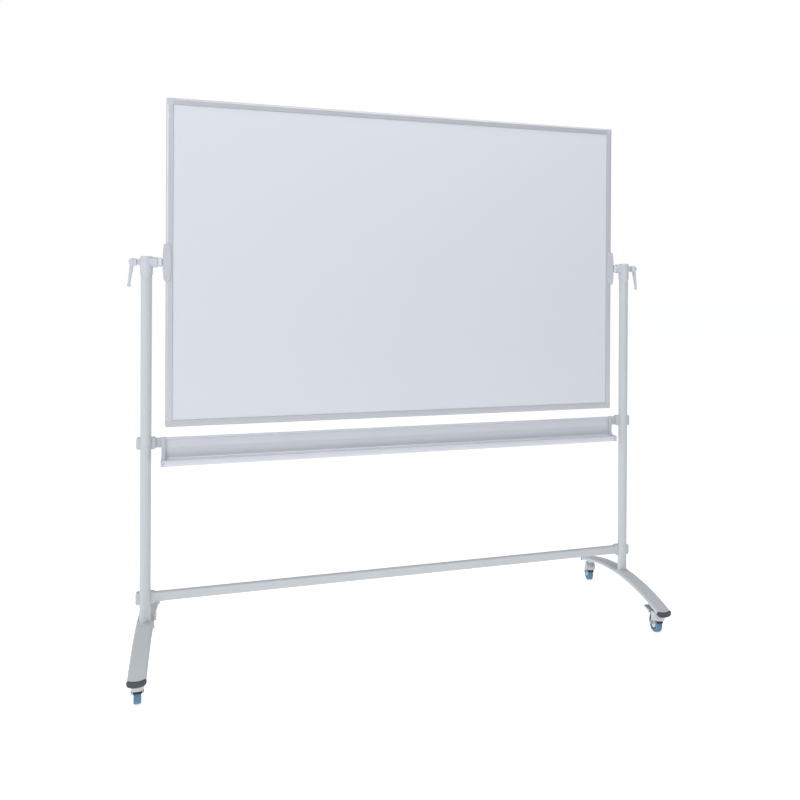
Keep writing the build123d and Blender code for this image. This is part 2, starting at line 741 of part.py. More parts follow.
save(tray.part, "pen_tray")

cap_wall_face = tray_bead_dia + 1.5 - tray_back
with BuildPart() as tray_cap_piece:
    with BuildSketch(along_x(-tray_half, 0, 0, -1)) as cap_outline:
        with BuildLine() as cap_line:
            Polyline(
                (-tray_back, tray_top + 2),
                (cap_wall_face, tray_top + 2),
                (cap_wall_face, tray_floor + 16),
                (cap_wall_face + 10.5, tray_floor + 5),
                (-lip_face, tray_floor + 5),
                (-lip_face, tray_bottom),
                (-tray_back, tray_bottom),
                close=True,
            )
        make_face()
        fillet(cap_outline.vertices(), 2.0)
    extrude(amount=tray_cap)
    fillet(tray_cap_piece.faces().sort_by(Axis.X)[0].edges(), 1.2)
both_sides(tray_cap_piece.part, "tray_cap")


# ------------------------------------------------------------------ castors
# Each castor is drawn with its swivel axis on Z and its wheel trailing to +Y.
axle_z = wheel_dia / 2
rim_radius = wheel_dia / 2 - tread_depth
hub_cover_radius = rim_radius - rim_band
leg_inner = wheel_width / 2 + fork_gap
leg_outer = leg_inner + fork_sheet
crown_low = wheel_dia + crown_clear
crown_high = crown_low + crown_thick
race_high = crown_high + race_stand
pedal_top = crown_low - pedal_drop
pedal_pivot_y = trail + pedal_behind
pedal_pivot_z = pedal_top - pedal_pin_drop
pedal_reach = pedal_pivot_y + pedal_tail
crown_front = 20.0
crown_rear = 32.0
pedal_sheet = 2.0
pedal_inner = leg_outer + 0.8
pedal_outer = pedal_inner + pedal_sheet
pedal_pin_stub = pedal_outer - leg_outer + 1.8

with BuildPart() as tyre:
    with BuildSketch(along_x(-wheel_width / 2, trail, axle_z)) as tyre_ring:
        Circle(wheel_dia / 2)
        Circle(rim_radius, mode=Mode.SUBTRACT)
    extrude(amount=wheel_width)
    round_edges = tyre.edges().filter_by(GeomType.CIRCLE)
    tread_edges = [e for e in round_edges if e.radius > rim_radius + 1]
    fillet(tread_edges, tread_round)
    groove_profile = Plane(origin=(0, trail, axle_z), x_dir=(1, 0, 0), z_dir=(0, -1, 0))
    with BuildSketch(groove_profile) as grooves:
        with Locations((-groove_offset, wheel_dia / 2), (groove_offset, wheel_dia / 2)):
            Rectangle(groove_width, 2 * groove_depth)
    revolve(axis=Axis((0, trail, axle_z), (1, 0, 0)), mode=Mode.SUBTRACT)

with BuildPart() as rim:
    with BuildSketch(along_x(-wheel_width / 2 + 1, trail, axle_z)) as rim_ring:
        Circle(rim_radius)
        Circle(hub_cover_radius, mode=Mode.SUBTRACT)
    extrude(amount=wheel_width - 2)

with BuildPart() as wheel_hub:
    with BuildSketch(along_x(-wheel_width / 2, trail, axle_z)) as hub_disc:
        Circle(hub_cover_radius)
    extrude(amount=wheel_width)
    fillet(wheel_hub.edges(), 1.5)
    with BuildSketch(along_x(-leg_inner + side_gap, trail, axle_z)) as hub_core:
        Circle(axle_dia)
    extrude(amount=2 * (leg_inner - side_gap))
    with BuildSketch(along_x(-leg_inner, trail, axle_z)) as hub_bore:
        Circle(axle_dia / 2 + running_fit)
    extrude(amount=2 * leg_inner, mode=Mode.SUBTRACT)

with BuildPart() as axle:
    with BuildSketch(along_x(-leg_outer, trail, axle_z)) as axle_round:
        Circle(axle_dia / 2)
    extrude(amount=2 * leg_outer)
    for side in sides.values():
        with BuildSketch(along_x(side * leg_outer, trail, axle_z, side)) as axle_nut:
            RegularPolygon(nut_radius, 6)
        extrude(amount=nut_thick)


def castor_fork(braked):
    """Pressed fork with its raceway; a braked fork has ears for the pedal pin."""
    rear = pedal_pivot_y + 4 if braked else crown_rear
    ear_top = pedal_pivot_z + 3.3 if braked else crown_low - 4
    rear_step = 8.0 if braked else -2.0
    with BuildPart() as fork:
        with BuildSketch(along_x(-leg_outer, 0, 0)) as leg_side:
            with BuildLine() as leg_line:
                front_low = (trail - 8.0, axle_z - 3.0)
                rear_low = (trail + 8.0, axle_z - 3.0)
                Line((-crown_front, crown_high), (-crown_front, crown_low - 5))
                Line((-crown_front, crown_low - 5), front_low)
                ThreePointArc(front_low, (trail, axle_z - 8.5), rear_low)
                Line(rear_low, (crown_rear + 2, crown_low - 14))
                Line((crown_rear + 2, crown_low - 14), (rear, crown_low - 13))
                Line((rear, crown_low - 13), (rear, ear_top))
                Line((rear, ear_top), (crown_rear + rear_step, ear_top))
                Line((crown_rear + rear_step, ear_top), (crown_rear - 4, crown_high))
                Line((crown_rear - 4, crown_high), (-crown_front, crown_high))
            make_face()
        extrude(amount=2 * leg_outer)
        with BuildSketch(along_x(-leg_inner, 0, 0)) as between_legs:
            with Locations((0, crown_low / 2)):
                Rectangle(4 * pedal_pivot_y, crown_low)
        extrude(amount=2 * leg_inner, mode=Mode.SUBTRACT)
        with BuildSketch(along_x(-leg_inner, 0, 0)) as open_rear:
            with Locations((crown_rear + 20, crown_high)):
                Rectangle(40, 2 * crown_high)
        extrude(amount=2 * leg_inner, mode=Mode.SUBTRACT)
        with BuildSketch(Plane.XY.offset(crown_high)) as raceway:
            Circle(race_radius)
        extrude(amount=race_high - crown_high)
        fillet(fork.edges().group_by(Axis.Z)[-1], 2.5)
        with BuildSketch(Plane.XY.offset(crown_low)) as stem_way:
            Circle(stem_dia / 2 + running_fit)
        extrude(amount=race_high - crown_low, mode=Mode.SUBTRACT)
        with BuildSketch(along_x(-leg_outer, trail, axle_z)) as axle_way:
            Circle(axle_dia / 2)
        extrude(amount=2 * leg_outer, mode=Mode.SUBTRACT)
        if braked:
            with BuildSketch(along_x(-leg_outer, pedal_pivot_y, pedal_pivot_z)) as pin:
                Circle(pedal_pin_radius)
            extrude(amount=2 * leg_outer)
            for side in sides.values():
                pin_end = along_x(side * leg_outer, pedal_pivot_y, pedal_pivot_z, side)
                with BuildSketch(pin_end) as pin_stub:
                    Circle(pedal_pin_radius)
                extrude(amount=pedal_pin_stub)
    return fork.part


# Brake pedal: a channel that straddles the fork ears and turns on their pin.
pedal_front = pedal_pivot_y - 6
with BuildPart() as pedal:
    with BuildSketch(along_x(-pedal_outer, 0, 0)) as pedal_side:
        with BuildLine() as pedal_line:
            Polyline(
                (pedal_front, pedal_top),
                (pedal_front, pedal_pivot_z - 5),
                (pedal_pivot_y + 7, pedal_pivot_z - 5),
                (pedal_reach - 14, pedal_top - 7),
                (pedal_reach, pedal_top - 4),
                (pedal_reach, pedal_top),
                close=True,
            )
        make_face()
    extrude(amount=2 * pedal_outer)
    fillet(pedal.edges().filter_by(Axis.Z).group_by(Axis.Y)[-1], 5.0)
    with BuildSketch(along_x(-pedal_inner, 0, 0)) as pedal_inside:
        with Locations((pedal_pivot_y, pedal_top - pedal_sheet - 20)):
            Rectangle(2 * (pedal_reach - pedal_pivot_y - 2), 40)
    extrude(amount=2 * pedal_inner, mode=Mode.SUBTRACT)
    with BuildSketch(along_x(-5, 0, 0)) as brake_shoe:
        with Locations((pedal_pivot_y + 4.5, pedal_top - 5.5)):
            Rectangle(5, 9)
    extrude(amount=10)
    with BuildSketch(along_x(-pedal_outer, pedal_pivot_y, pedal_pivot_z)) as pin_way:
        Circle(pedal_pin_radius + running_fit)
    extrude(amount=2 * pedal_outer, mode=Mode.SUBTRACT)

with BuildPart() as stem:
    with BuildSketch(Plane.XY.offset(crown_low - side_gap - stem_rivet)) as rivet_head:
        Circle(stem_rivet_radius)
    extrude(amount=stem_rivet)
    with BuildSketch(Plane.XY.offset(crown_low - stem_rivet)) as stem_round:
        Circle(stem_dia / 2)
    extrude(amount=castor_height + stem_length - crown_low + stem_rivet)
    with BuildSketch(Plane.XY.offset(race_high + side_gap)) as stem_flange:
        Circle(stem_flange_radius)
    extrude(amount=castor_height - race_high - side_gap)

plain_fork = castor_fork(False)
braked_fork = castor_fork(True)
stems = []
for name, yaw in castor_yaw.items():
    x = -post_x if "left" in name else post_x
    y = -castor_y if "front" in name else castor_y
    spot = Location((x, y, 0), (0, 0, yaw))
    fork = braked_fork if "front" in name else plain_fork
    save(spot * fork, f"castor_{name}_fork")
    save(spot * axle.part, f"castor_{name}_axle")
    save(spot * tyre.part, f"castor_{name}_tyre")
    save(spot * rim.part, f"castor_{name}_rim")
    save(spot * wheel_hub.part, f"castor_{name}_hub")
    if "front" in name:
        save(spot * pedal.part, f"castor_{name}_pedal")
    stems.append(spot * stem.part)
save(Compound(children=stems), "castor_stems")
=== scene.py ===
# %% [markdown]
# # A revolving whiteboard on castors
# The board turns over between two posts. The rigid parts come in at their
# real size and place; this lesson gives them their finishes and makes anew the
# pieces whose shape follows a rule: the arched feet, the pen tray, the
# screws, the welds, the beads and the small black sheets of painted shade in
# the castor forks. Everything is in metres, with X along the board, Y away
# from the writer and Z up.

# %% Load the stand, the board and the castors
import bpy
import bmesh
from math import cos, pi, radians, sin
from mathutils import Matrix, Vector


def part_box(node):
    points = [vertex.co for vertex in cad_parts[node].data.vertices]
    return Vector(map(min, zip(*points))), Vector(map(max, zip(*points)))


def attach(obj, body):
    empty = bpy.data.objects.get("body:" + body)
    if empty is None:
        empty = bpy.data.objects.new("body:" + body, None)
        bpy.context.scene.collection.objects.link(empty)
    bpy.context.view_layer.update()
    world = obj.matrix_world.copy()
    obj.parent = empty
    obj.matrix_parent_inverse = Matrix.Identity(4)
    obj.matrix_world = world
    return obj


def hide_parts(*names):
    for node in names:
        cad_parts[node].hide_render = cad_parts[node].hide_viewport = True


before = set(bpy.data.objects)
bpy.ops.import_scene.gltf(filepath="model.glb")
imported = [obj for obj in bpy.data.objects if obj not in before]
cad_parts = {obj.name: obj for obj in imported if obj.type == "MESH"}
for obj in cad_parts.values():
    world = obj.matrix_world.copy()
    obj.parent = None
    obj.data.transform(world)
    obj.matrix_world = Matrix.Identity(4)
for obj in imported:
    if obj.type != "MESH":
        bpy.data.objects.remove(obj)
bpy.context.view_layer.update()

# %% [markdown]
# ## The camera
# The board is seen from a little left of its middle, at chest height, with a
# moderately wide lens. The view is level and the frame is shifted instead of
# tilted, which keeps the posts upright as an architect's camera does.

# %% Set up the camera
EYE = Vector((-0.741, -3.107, 1.366))
YAW, PITCH, ROLL = radians(17.37), radians(-0.09), radians(0.30)

forward = Vector((sin(YAW) * cos(PITCH), cos(YAW) * cos(PITCH), sin(PITCH)))
level_right = Vector((cos(YAW), -sin(YAW), 0.0))
level_up = level_right.cross(forward)
right = cos(ROLL) * level_right + sin(ROLL) * level_up
up = cos(ROLL) * level_up - sin(ROLL) * level_right

FOCAL_MM, SENSOR_MM = 36.05, 36.0
SHIFT_X, SHIFT_Y = -0.0774, -0.1362
lens = bpy.data.cameras.new("room_camera")
lens.sensor_width = SENSOR_MM
lens.lens = FOCAL_MM
lens.shift_x = SHIFT_X
lens.shift_y = SHIFT_Y
camera = bpy.data.objects.new("room_camera", lens)
camera.matrix_world = Matrix((
    (right.x, up.x, -forward.x, EYE.x),
    (right.y, up.y, -forward.y, EYE.y),
    (right.z, up.z, -forward.z, EYE.z),
    (0.0, 0.0, 0.0, 1.0),
))
bpy.context.collection.objects.link(camera)
bpy.context.scene.camera = camera
print("camera at", [round(v, 3) for v in EYE], "lens", FOCAL_MM, "mm")

# %% [markdown]
# ## Floor and light
# A showroom for pale furniture is a white room with large soft lamps. The
# world's light fades from left to right, a panel on the left models the round
# posts, and one overhead lights the tops of the feet. The floor is pale and
# matt, and it glows a little so that it meets the white background unseen.

# %% Build the studio
def soft_panel(name, place, target, size, watts):
    """A rectangular soft light at place that faces target."""
    lamp = bpy.data.lights.new(name, "AREA")
    lamp.shape = "RECTANGLE"
    lamp.size, lamp.size_y = size
    lamp.energy = watts
    thing = bpy.data.objects.new(name, lamp)
    thing.location = place
    facing = Vector(target) - Vector(place)
    thing.rotation_euler = facing.to_track_quat("-Z", "Y").to_euler()
    bpy.context.collection.objects.link(thing)


soft_panel("window_left", (-3.2, -2.4, 2.6), (0.0, 0.0, 1.2), (2.6, 2.6), 44.0)
soft_panel("fill_above", (0.5, -1.0, 4.2), (0.0, 0.0, 0.6), (3.5, 2.5), 60.0)

LEFT_GLOW, RIGHT_GLOW = 0.66, 0.25
world = bpy.data.worlds.new("white_room")
world.use_nodes = True
sky = world.node_tree
sky.nodes.clear()
seen = sky.nodes.new("ShaderNodeBackground")
seen.inputs["Color"].default_value = (1.0, 1.0, 1.0, 1.0)
seen.inputs["Strength"].default_value = 1.0
light = sky.nodes.new("ShaderNodeBackground")
light.inputs["Color"].default_value = (0.95, 0.975, 1.0, 1.0)
room = sky.nodes.new("ShaderNodeTexCoord")
sides = sky.nodes.new("ShaderNodeSeparateXYZ")
wall_light = sky.nodes.new("ShaderNodeMapRange")
wall_light.inputs["From Min"].default_value = -1.0
wall_light.inputs["From Max"].default_value = 1.0
wall_light.inputs["To Min"].default_value = LEFT_GLOW
wall_light.inputs["To Max"].default_value = RIGHT_GLOW
sky.links.new(room.outputs["Generated"], sides.inputs[0])
sky.links.new(sides.outputs["X"], wall_light.inputs["Value"])
sky.links.new(wall_light.outputs["Result"], light.inputs["Strength"])
path = sky.nodes.new("ShaderNodeLightPath")
chooser = sky.nodes.new("ShaderNodeMixShader")
out = sky.nodes.new("ShaderNodeOutputWorld")
sky.links.new(path.outputs["Is Camera Ray"], chooser.inputs[0])
sky.links.new(light.outputs[0], chooser.inputs[1])
sky.links.new(seen.outputs[0], chooser.inputs[2])
sky.links.new(chooser.outputs[0], out.inputs[0])
bpy.context.scene.world = world
bpy.context.scene.view_settings.view_transform = "Standard"
print("lamps:", len(bpy.data.lights), "world light", LEFT_GLOW, "to", RIGHT_GLOW)

# %% Lay the floor
FLOOR_DARK, FLOOR_PALE = (0.90, 0.905, 0.91, 1.0), (0.94, 0.94, 0.945, 1.0)
FLOOR_GLOW = 0.60
FLOOR_SIDE, FLOOR_NEAR, FLOOR_FAR = 60.0, -8.0, 90.0


def floor_finish():
    """Pale matt floor paint, very slightly mottled."""
    material = bpy.data.materials.new("floor_paint")
    material.use_nodes = True
    nodes, links = material.node_tree.nodes, material.node_tree.links
    place = nodes.new("ShaderNodeTexCoord")
    cloud = nodes.new("ShaderNodeTexNoise")
    cloud.inputs["Scale"].default_value = 1.2
    ramp = nodes.new("ShaderNodeValToRGB")
    ramp.color_ramp.elements[0].color = FLOOR_DARK
    ramp.color_ramp.elements[1].color = FLOOR_PALE
    shader = nodes["Principled BSDF"]
    shader.inputs["Roughness"].default_value = 0.9
    shader.inputs["Specular IOR Level"].default_value = 0.2
    links.new(place.outputs["Object"], cloud.inputs["Vector"])
    links.new(cloud.outputs["Fac"], ramp.inputs["Fac"])
    links.new(ramp.outputs["Color"], shader.inputs["Base Color"])
    shader.inputs["Emission Color"].default_value = (1.0, 1.0, 1.0, 1.0)
    shader.inputs["Emission Strength"].default_value = FLOOR_GLOW
    return material


floor_mesh = bpy.data.meshes.new("floor")
floor_corners = [
    (-FLOOR_SIDE, FLOOR_NEAR, 0.0), (FLOOR_SIDE, FLOOR_NEAR, 0.0),
    (FLOOR_SIDE, FLOOR_FAR, 0.0), (-FLOOR_SIDE, FLOOR_FAR, 0.0),
]
floor_mesh.from_pydata(floor_corners, [], [(0, 1, 2, 3)])
floor_mesh.materials.append(floor_finish())
floor = bpy.data.objects.new("floor", floor_mesh)
bpy.context.collection.objects.link(floor)
print("floor", 2 * FLOOR_SIDE, "m wide, glow", FLOOR_GLOW)

# %% [markdown]
# ## Effects that several finishes share
# Powder paint, drawn aluminium and moulded plastic differ in grain, but they
# are built from the same parts: a noise that shifts the colour a little, one
# that shifts the roughness, and one for the relief. Each effect is a node
# group with named inputs, made once, and each finish sets its own values.

# %% A helper that starts a node group
def effect_group(name, inputs):
    """A shader group with a colour, the given number inputs and three outputs."""
    tree = bpy.data.node_groups.new(name, "ShaderNodeTree")
    tree.interface.new_socket("Color", in_out="INPUT", socket_type="NodeSocketColor")
    for label, value in inputs:
        socket = tree.interface.new_socket(label, in_out="INPUT", socket_type="NodeSocketFloat")
        socket.default_value = value
    tree.interface.new_socket("Color", in_out="OUTPUT", socket_type="NodeSocketColor")
    tree.interface.new_socket("Roughness", in_out="OUTPUT", socket_type="NodeSocketFloat")
    tree.interface.new_socket("Height", in_out="OUTPUT", socket_type="NodeSocketFloat")
    return tree, tree.nodes.new("NodeGroupInput"), tree.nodes.new("NodeGroupOutput")


def noise(tree, vector, scale, detail=2.0, rough=0.5):
    """A noise texture on a vector; scale is a number or a socket to link."""
    node = tree.nodes.new("ShaderNodeTexNoise")
    node.inputs["Detail"].default_value = detail
    node.inputs["Roughness"].default_value = rough
    if isinstance(scale, (int, float)):
        node.inputs["Scale"].default_value = scale
    else:
        tree.links.new(scale, node.inputs["Scale"])
    tree.links.new(vector, node.inputs["Vector"])
    return node.outputs["Fac"]


def arithmetic(tree, operation, first, second, third=None):
    """A Math node; each of the values is a number or a socket."""
    node = tree.nodes.new("ShaderNodeMath")
    node.operation = operation
    for slot, value in enumerate((first, second, third)):
        if isinstance(value, (int, float)):
            node.inputs[slot].default_value = value
        elif value is not None:
            tree.links.new(value, node.inputs[slot])
    return node.outputs[0]


def spread(tree, value, low, high, to_low, to_high):
    """Map Range from low..high to to_low..to_high, held at the ends."""
    node = tree.nodes.new("ShaderNodeMapRange")
    node.inputs["From Min"].default_value = low
    node.inputs["From Max"].default_value = high
    node.inputs["To Min"].default_value = to_low
    node.inputs["To Max"].default_value = to_high
    tree.links.new(value, node.inputs["Value"])
    return node.outputs["Result"]


def swing_about(tree, value, middle, amount):
    """How far a value is from its middle, times an amount."""
    return arithmetic(tree, "MULTIPLY", arithmetic(tree, "SUBTRACT", value, middle), amount)


def shade(tree, colour, factor):
    """Multiply a colour by a number that varies over the surface."""
    node = tree.nodes.new("ShaderNodeMix")
    node.data_type = "RGBA"
    node.blend_type = "MULTIPLY"
    node.inputs[0].default_value = 1.0
    grey = tree.nodes.new("ShaderNodeCombineColor")
    for channel in range(3):
        tree.links.new(factor, grey.inputs[channel])
    tree.links.new(colour, node.inputs[6])
    tree.links.new(grey.outputs[0], node.inputs[7])
    return node.outputs[2]


print("effect helpers ready")

# %% [markdown]
# ### Powder coat
# Powder paint is sprayed dry and melted in an oven. It flows into a fine
# orange peel, a couple of millimetres from dimple to dimple, with tiny
# specks. Two noises make the peel, and a slow one the oven's cloudiness.

# %% Powder coat group
def powder_coat_group():
    tree, given, made = effect_group(
        "powder_coat", [("Peel Scale", 420.0), ("Mottle", 0.03), ("Base Roughness", 0.42)]
    )
    place = tree.nodes.new("ShaderNodeTexCoord").outputs["Object"]
    peel = noise(tree, place, given.outputs["Peel Scale"], 3.0)
    cloud = noise(tree, place, 3.0, 2.0)
    speck = noise(tree, place, 2600.0, 1.0)
    swing = swing_about(tree, cloud, 0.5, given.outputs["Mottle"])
    fleck = spread(tree, speck, 0.68, 0.80, 0.0, -0.03)
    tone = arithmetic(tree, "ADD", arithmetic(tree, "ADD", swing, fleck), 1.0)
    tree.links.new(shade(tree, given.outputs["Color"], tone), made.inputs["Color"])
    dull = arithmetic(tree, "MULTIPLY_ADD", peel, 0.10, given.outputs["Base Roughness"])
    tree.links.new(dull, made.inputs["Roughness"])
    tree.links.new(arithmetic(tree, "MULTIPLY_ADD", speck, 0.2, peel), made.inputs["Height"])
    return tree


POWDER = powder_coat_group()
print("powder coat:", len(POWDER.nodes), "nodes")

# %% [markdown]
# ### Drawn aluminium
# An extrusion leaves the die with fine lines along its length, and
# anodising keeps them under a clear grey film. A noise that is stretched
# along the rail gives the lines; the stretch is different for rails that run
# along X and for those that stand up, so the group takes it as inputs.

# %% Drawn metal group
def drawn_metal_group():
    tree, given, made = effect_group(
        "drawn_metal",
        [
            ("Along X", 2.0), ("Along Y", 900.0), ("Along Z", 900.0),
            ("Line Contrast", 0.05), ("Base Roughness", 0.34),
        ],
    )
    place = tree.nodes.new("ShaderNodeTexCoord").outputs["Object"]
    stretch = tree.nodes.new("ShaderNodeCombineXYZ")
    for slot, label in enumerate(("Along X", "Along Y", "Along Z")):
        tree.links.new(given.outputs[label], stretch.inputs[slot])
    pulled = tree.nodes.new("ShaderNodeVectorMath")
    pulled.operation = "MULTIPLY"
    tree.links.new(place, pulled.inputs[0])
    tree.links.new(stretch.outputs[0], pulled.inputs[1])
    lines = noise(tree, pulled.outputs[0], 1.0, 2.0)
    film = noise(tree, place, 5.0, 2.0)
    swing = swing_about(tree, lines, 0.5, given.outputs["Line Contrast"])
    slow = swing_about(tree, film, 0.5, 0.04)
    tone = arithmetic(tree, "ADD", arithmetic(tree, "ADD", swing, slow), 1.0)
    tree.links.new(shade(tree, given.outputs["Color"], tone), made.inputs["Color"])
    dull = arithmetic(tree, "MULTIPLY_ADD", lines, 0.12, given.outputs["Base Roughness"])
    tree.links.new(dull, made.inputs["Roughness"])
    tree.links.new(lines, made.inputs["Height"])
    return tree


DRAWN = drawn_metal_group()
print("drawn metal:", len(DRAWN.nodes), "nodes")

# %% [markdown]
# ### Moulded grain
# A mould for plastic is etched, so the part comes out with a fine leathery
# grain and slight flow marks. Voronoi cells give the grain. The same group
# serves rubber, with a coarser cell and more contrast.

# %% Moulded grain group
def moulded_grain_group():
    tree, given, made = effect_group(
        "moulded_grain", [("Grain Scale", 1500.0), ("Flow", 0.05), ("Base Roughness", 0.5)]
    )
    place = tree.nodes.new("ShaderNodeTexCoord").outputs["Object"]
    cells = tree.nodes.new("ShaderNodeTexVoronoi")
    cells.feature = "SMOOTH_F1"
    tree.links.new(place, cells.inputs["Vector"])
    tree.links.new(given.outputs["Grain Scale"], cells.inputs["Scale"])
    flow = noise(tree, place, 24.0, 3.0)
    swing = swing_about(tree, flow, 0.5, given.outputs["Flow"])
    tone = arithmetic(tree, "ADD", swing, 1.0)
    tree.links.new(shade(tree, given.outputs["Color"], tone), made.inputs["Color"])
    dull = arithmetic(tree, "MULTIPLY_ADD", flow, 0.14, given.outputs["Base Roughness"])
    tree.links.new(dull, made.inputs["Roughness"])
    tree.links.new(cells.outputs["Distance"], made.inputs["Height"])
    return tree


GRAIN = moulded_grain_group()
print("moulded grain:", len(GRAIN.nodes), "nodes")

# %% [markdown]
# ### Wiped enamel
# A writing surface is wiped by hand, so the film of cleaner and old ink
# lies in faint broad strokes. They hardly change the colour, but they
# change how softly the surface reflects. Two stretched noises, turned to
# different angles, stand for the strokes.

# %% Wiped surface group
def wiped_surface_group():
    tree, given, made = effect_group(
        "wiped_surface", [("Stroke", 0.012), ("Haze", 0.06), ("Base Roughness", 0.24)]
    )
    place = tree.nodes.new("ShaderNodeTexCoord").outputs["Object"]
    strokes = []
    for turn, pull in ((0.35, (2.2, 1.0, 16.0)), (-0.5, (1.6, 1.0, 11.0))):
        mapping = tree.nodes.new("ShaderNodeMapping")
        mapping.inputs["Rotation"].default_value = (0.0, turn, 0.0)
        mapping.inputs["Scale"].default_value = pull
        tree.links.new(place, mapping.inputs["Vector"])
        strokes.append(noise(tree, mapping.outputs[0], 1.0, 4.0))
    smear = arithmetic(tree, "MULTIPLY", strokes[0], strokes[1])
    peel = noise(tree, place, 160.0, 2.0)
    tone = arithmetic(tree, "ADD", swing_about(tree, smear, 0.25, given.outputs["Stroke"]), 1.0)
    tree.links.new(shade(tree, given.outputs["Color"], tone), made.inputs["Color"])
    haze = arithmetic(tree, "MULTIPLY", smear, given.outputs["Haze"])
    dull = arithmetic(tree, "ADD", haze, given.outputs["Base Roughness"])
    tree.links.new(dull, made.inputs["Roughness"])
    tree.links.new(peel, made.inputs["Height"])
    return tree


WIPED = wiped_surface_group()
print("wiped surface:", len(WIPED.nodes), "nodes")

# %% [markdown]
# ## The finishes
# One function builds any finish: it puts the group into a material, sets the
# group's own values, and feeds its colour, roughness and height to the
# Principled shader. What is the same all over, such as how metallic it is,
# is set on the shader itself.

# %% A finish from a group
def finish(name, group, colour, settings, relief, depth=0.0002, **constants):
    """A material called name whose colour, roughness and relief come from group."""
    material = bpy.data.materials.new(name)
    material.use_nodes = True
    nodes, links = material.node_tree.nodes, material.node_tree.links
    effect = nodes.new("ShaderNodeGroup")
    effect.node_tree = group
    effect.inputs["Color"].default_value = (*colour, 1.0)
    for label, value in settings.items():
        effect.inputs[label].default_value = value
    bump = nodes.new("ShaderNodeBump")
    bump.inputs["Strength"].default_value = relief
    bump.inputs["Distance"].default_value = depth
    shader = nodes["Principled BSDF"]
    for label, value in constants.items():
        shader.inputs[label.replace("_", " ")].default_value = value
    links.new(effect.outputs["Color"], shader.inputs["Base Color"])
    links.new(effect.outputs["Roughness"], shader.inputs["Roughness"])
    links.new(effect.outputs["Height"], bump.inputs["Height"])
    links.new(bump.outputs["Normal"], shader.inputs["Normal"])
    return material


print("finishes can be mixed from", len(bpy.data.node_groups), "effect groups")

# %% [markdown]
# The stand is painted a light cool grey. The castings carry the same paint a
# shade bluer and a little rougher. The plastics of the board's corners and
# brackets are greyer, and the bushes paler and waxy.

# %% Mix the paints and plastics
stand_paint = finish(
    "stand_paint", POWDER, (0.53, 0.557, 0.58),
    {"Peel Scale": 420.0, "Mottle": 0.04, "Base Roughness": 0.40}, 0.18,
)
cast_paint = finish(
    "cast_paint", POWDER, (0.54, 0.565, 0.615),
    {"Peel Scale": 300.0, "Mottle": 0.05, "Base Roughness": 0.46}, 0.28,
)
corner_plastic = finish(
    "corner_plastic", GRAIN, (0.50, 0.52, 0.575),
    {"Grain Scale": 1400.0, "Base Roughness": 0.48}, 0.2,
)
bush_plastic = finish(
    "bush_plastic", GRAIN, (0.66, 0.685, 0.72),
    {"Grain Scale": 900.0, "Base Roughness": 0.36}, 0.08,
)
cap_plastic = finish(
    "cap_plastic", GRAIN, (0.045, 0.052, 0.070),
    {"Grain Scale": 1100.0, "Flow": 0.3, "Base Roughness": 0.42}, 0.35,
)
hub_plastic = finish(
    "hub_plastic", GRAIN, (0.60, 0.62, 0.64),
    {"Grain Scale": 1100.0, "Flow": 0.12, "Base Roughness": 0.4}, 0.1,
)
# This black is the rims' own colour, and it also serves the sheets of painted shade inside the
# castor forks.
rim_plastic = finish(
    "rim_plastic", GRAIN, (0.02, 0.021, 0.024),
    {"Grain Scale": 1100.0, "Base Roughness": 0.45}, 0.2,
)
tyre_rubber = finish(
    "tyre_rubber", GRAIN, (0.085, 0.215, 0.345),
    {"Grain Scale": 700.0, "Flow": 0.35, "Base Roughness": 0.55}, 0.35,
)
bead_rubber = finish(
    "bead_rubber", GRAIN, (0.40, 0.41, 0.46),
    {"Grain Scale": 900.0, "Base Roughness": 0.6}, 0.1,
)
core_fibre = finish(
    "core_fibre", GRAIN, (0.52, 0.46, 0.38),
    {"Grain Scale": 400.0, "Flow": 0.4, "Base Roughness": 0.8}, 0.5,
)
print("paints, plastics and rubbers mixed")

# %% [markdown]
# The film on an anodised rail is between paint and metal, so its metallic
# value is low. Zinc plate is nearly all metal, and its lines run every way.
# The enamel is glass on steel, and a thin coat gives its second, softer gleam.

# %% Mix the metals and the enamel
FINE = 0.0001
ALONG_RAIL = {"Along X": 2.0, "Along Y": 900.0, "Along Z": 900.0}
UP_RAIL = {"Along X": 900.0, "Along Y": 900.0, "Along Z": 2.0}
ZINC_LINES = {
    "Along X": 260.0, "Along Y": 260.0, "Along Z": 700.0,
    "Line Contrast": 0.2, "Base Roughness": 0.26,
}
rail_across = finish(
    "anodised_across", DRAWN, (0.52, 0.53, 0.57), ALONG_RAIL, 0.10, FINE, Metallic=0.35
)
rail_upright = finish(
    "anodised_upright", DRAWN, (0.57, 0.585, 0.625), UP_RAIL, 0.10, FINE, Metallic=0.35
)
# The tray's anodising is a lighter copy of the rails': painted light for its lit front face.
lit_tray_metal = finish(
    "anodised_tray_lit", DRAWN, (0.64, 0.655, 0.70), ALONG_RAIL, 0.10, FINE, Metallic=0.25
)
bright_zinc = finish(
    "bright_zinc", DRAWN, (0.46, 0.47, 0.49), ZINC_LINES, 0.12, FINE, Metallic=0.9
)
writing_enamel = finish(
    "writing_enamel", WIPED, (0.645, 0.667, 0.72), {}, 0.015,
    Specular_IOR_Level=0.5, Coat_Weight=0.15, Coat_Roughness=0.2,
)
print("metals and enamel mixed:", len(bpy.data.materials), "materials in all")

# %% [markdown]
# ## Dressing the rigid parts
# Every part that keeps its engineered shape gets its finish by name. A rail
# that stands up takes the upright drawing lines, and one that lies along the
# board takes the level ones.

# %% Give each part its finish
def dress(finish_material, *names):
    """Put a finish on rigid parts, by their names' beginnings."""
    named = [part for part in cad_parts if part.startswith(names)]
    for part in named:
        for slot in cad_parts[part].material_slots:
            slot.material = finish_material
    return len(named)


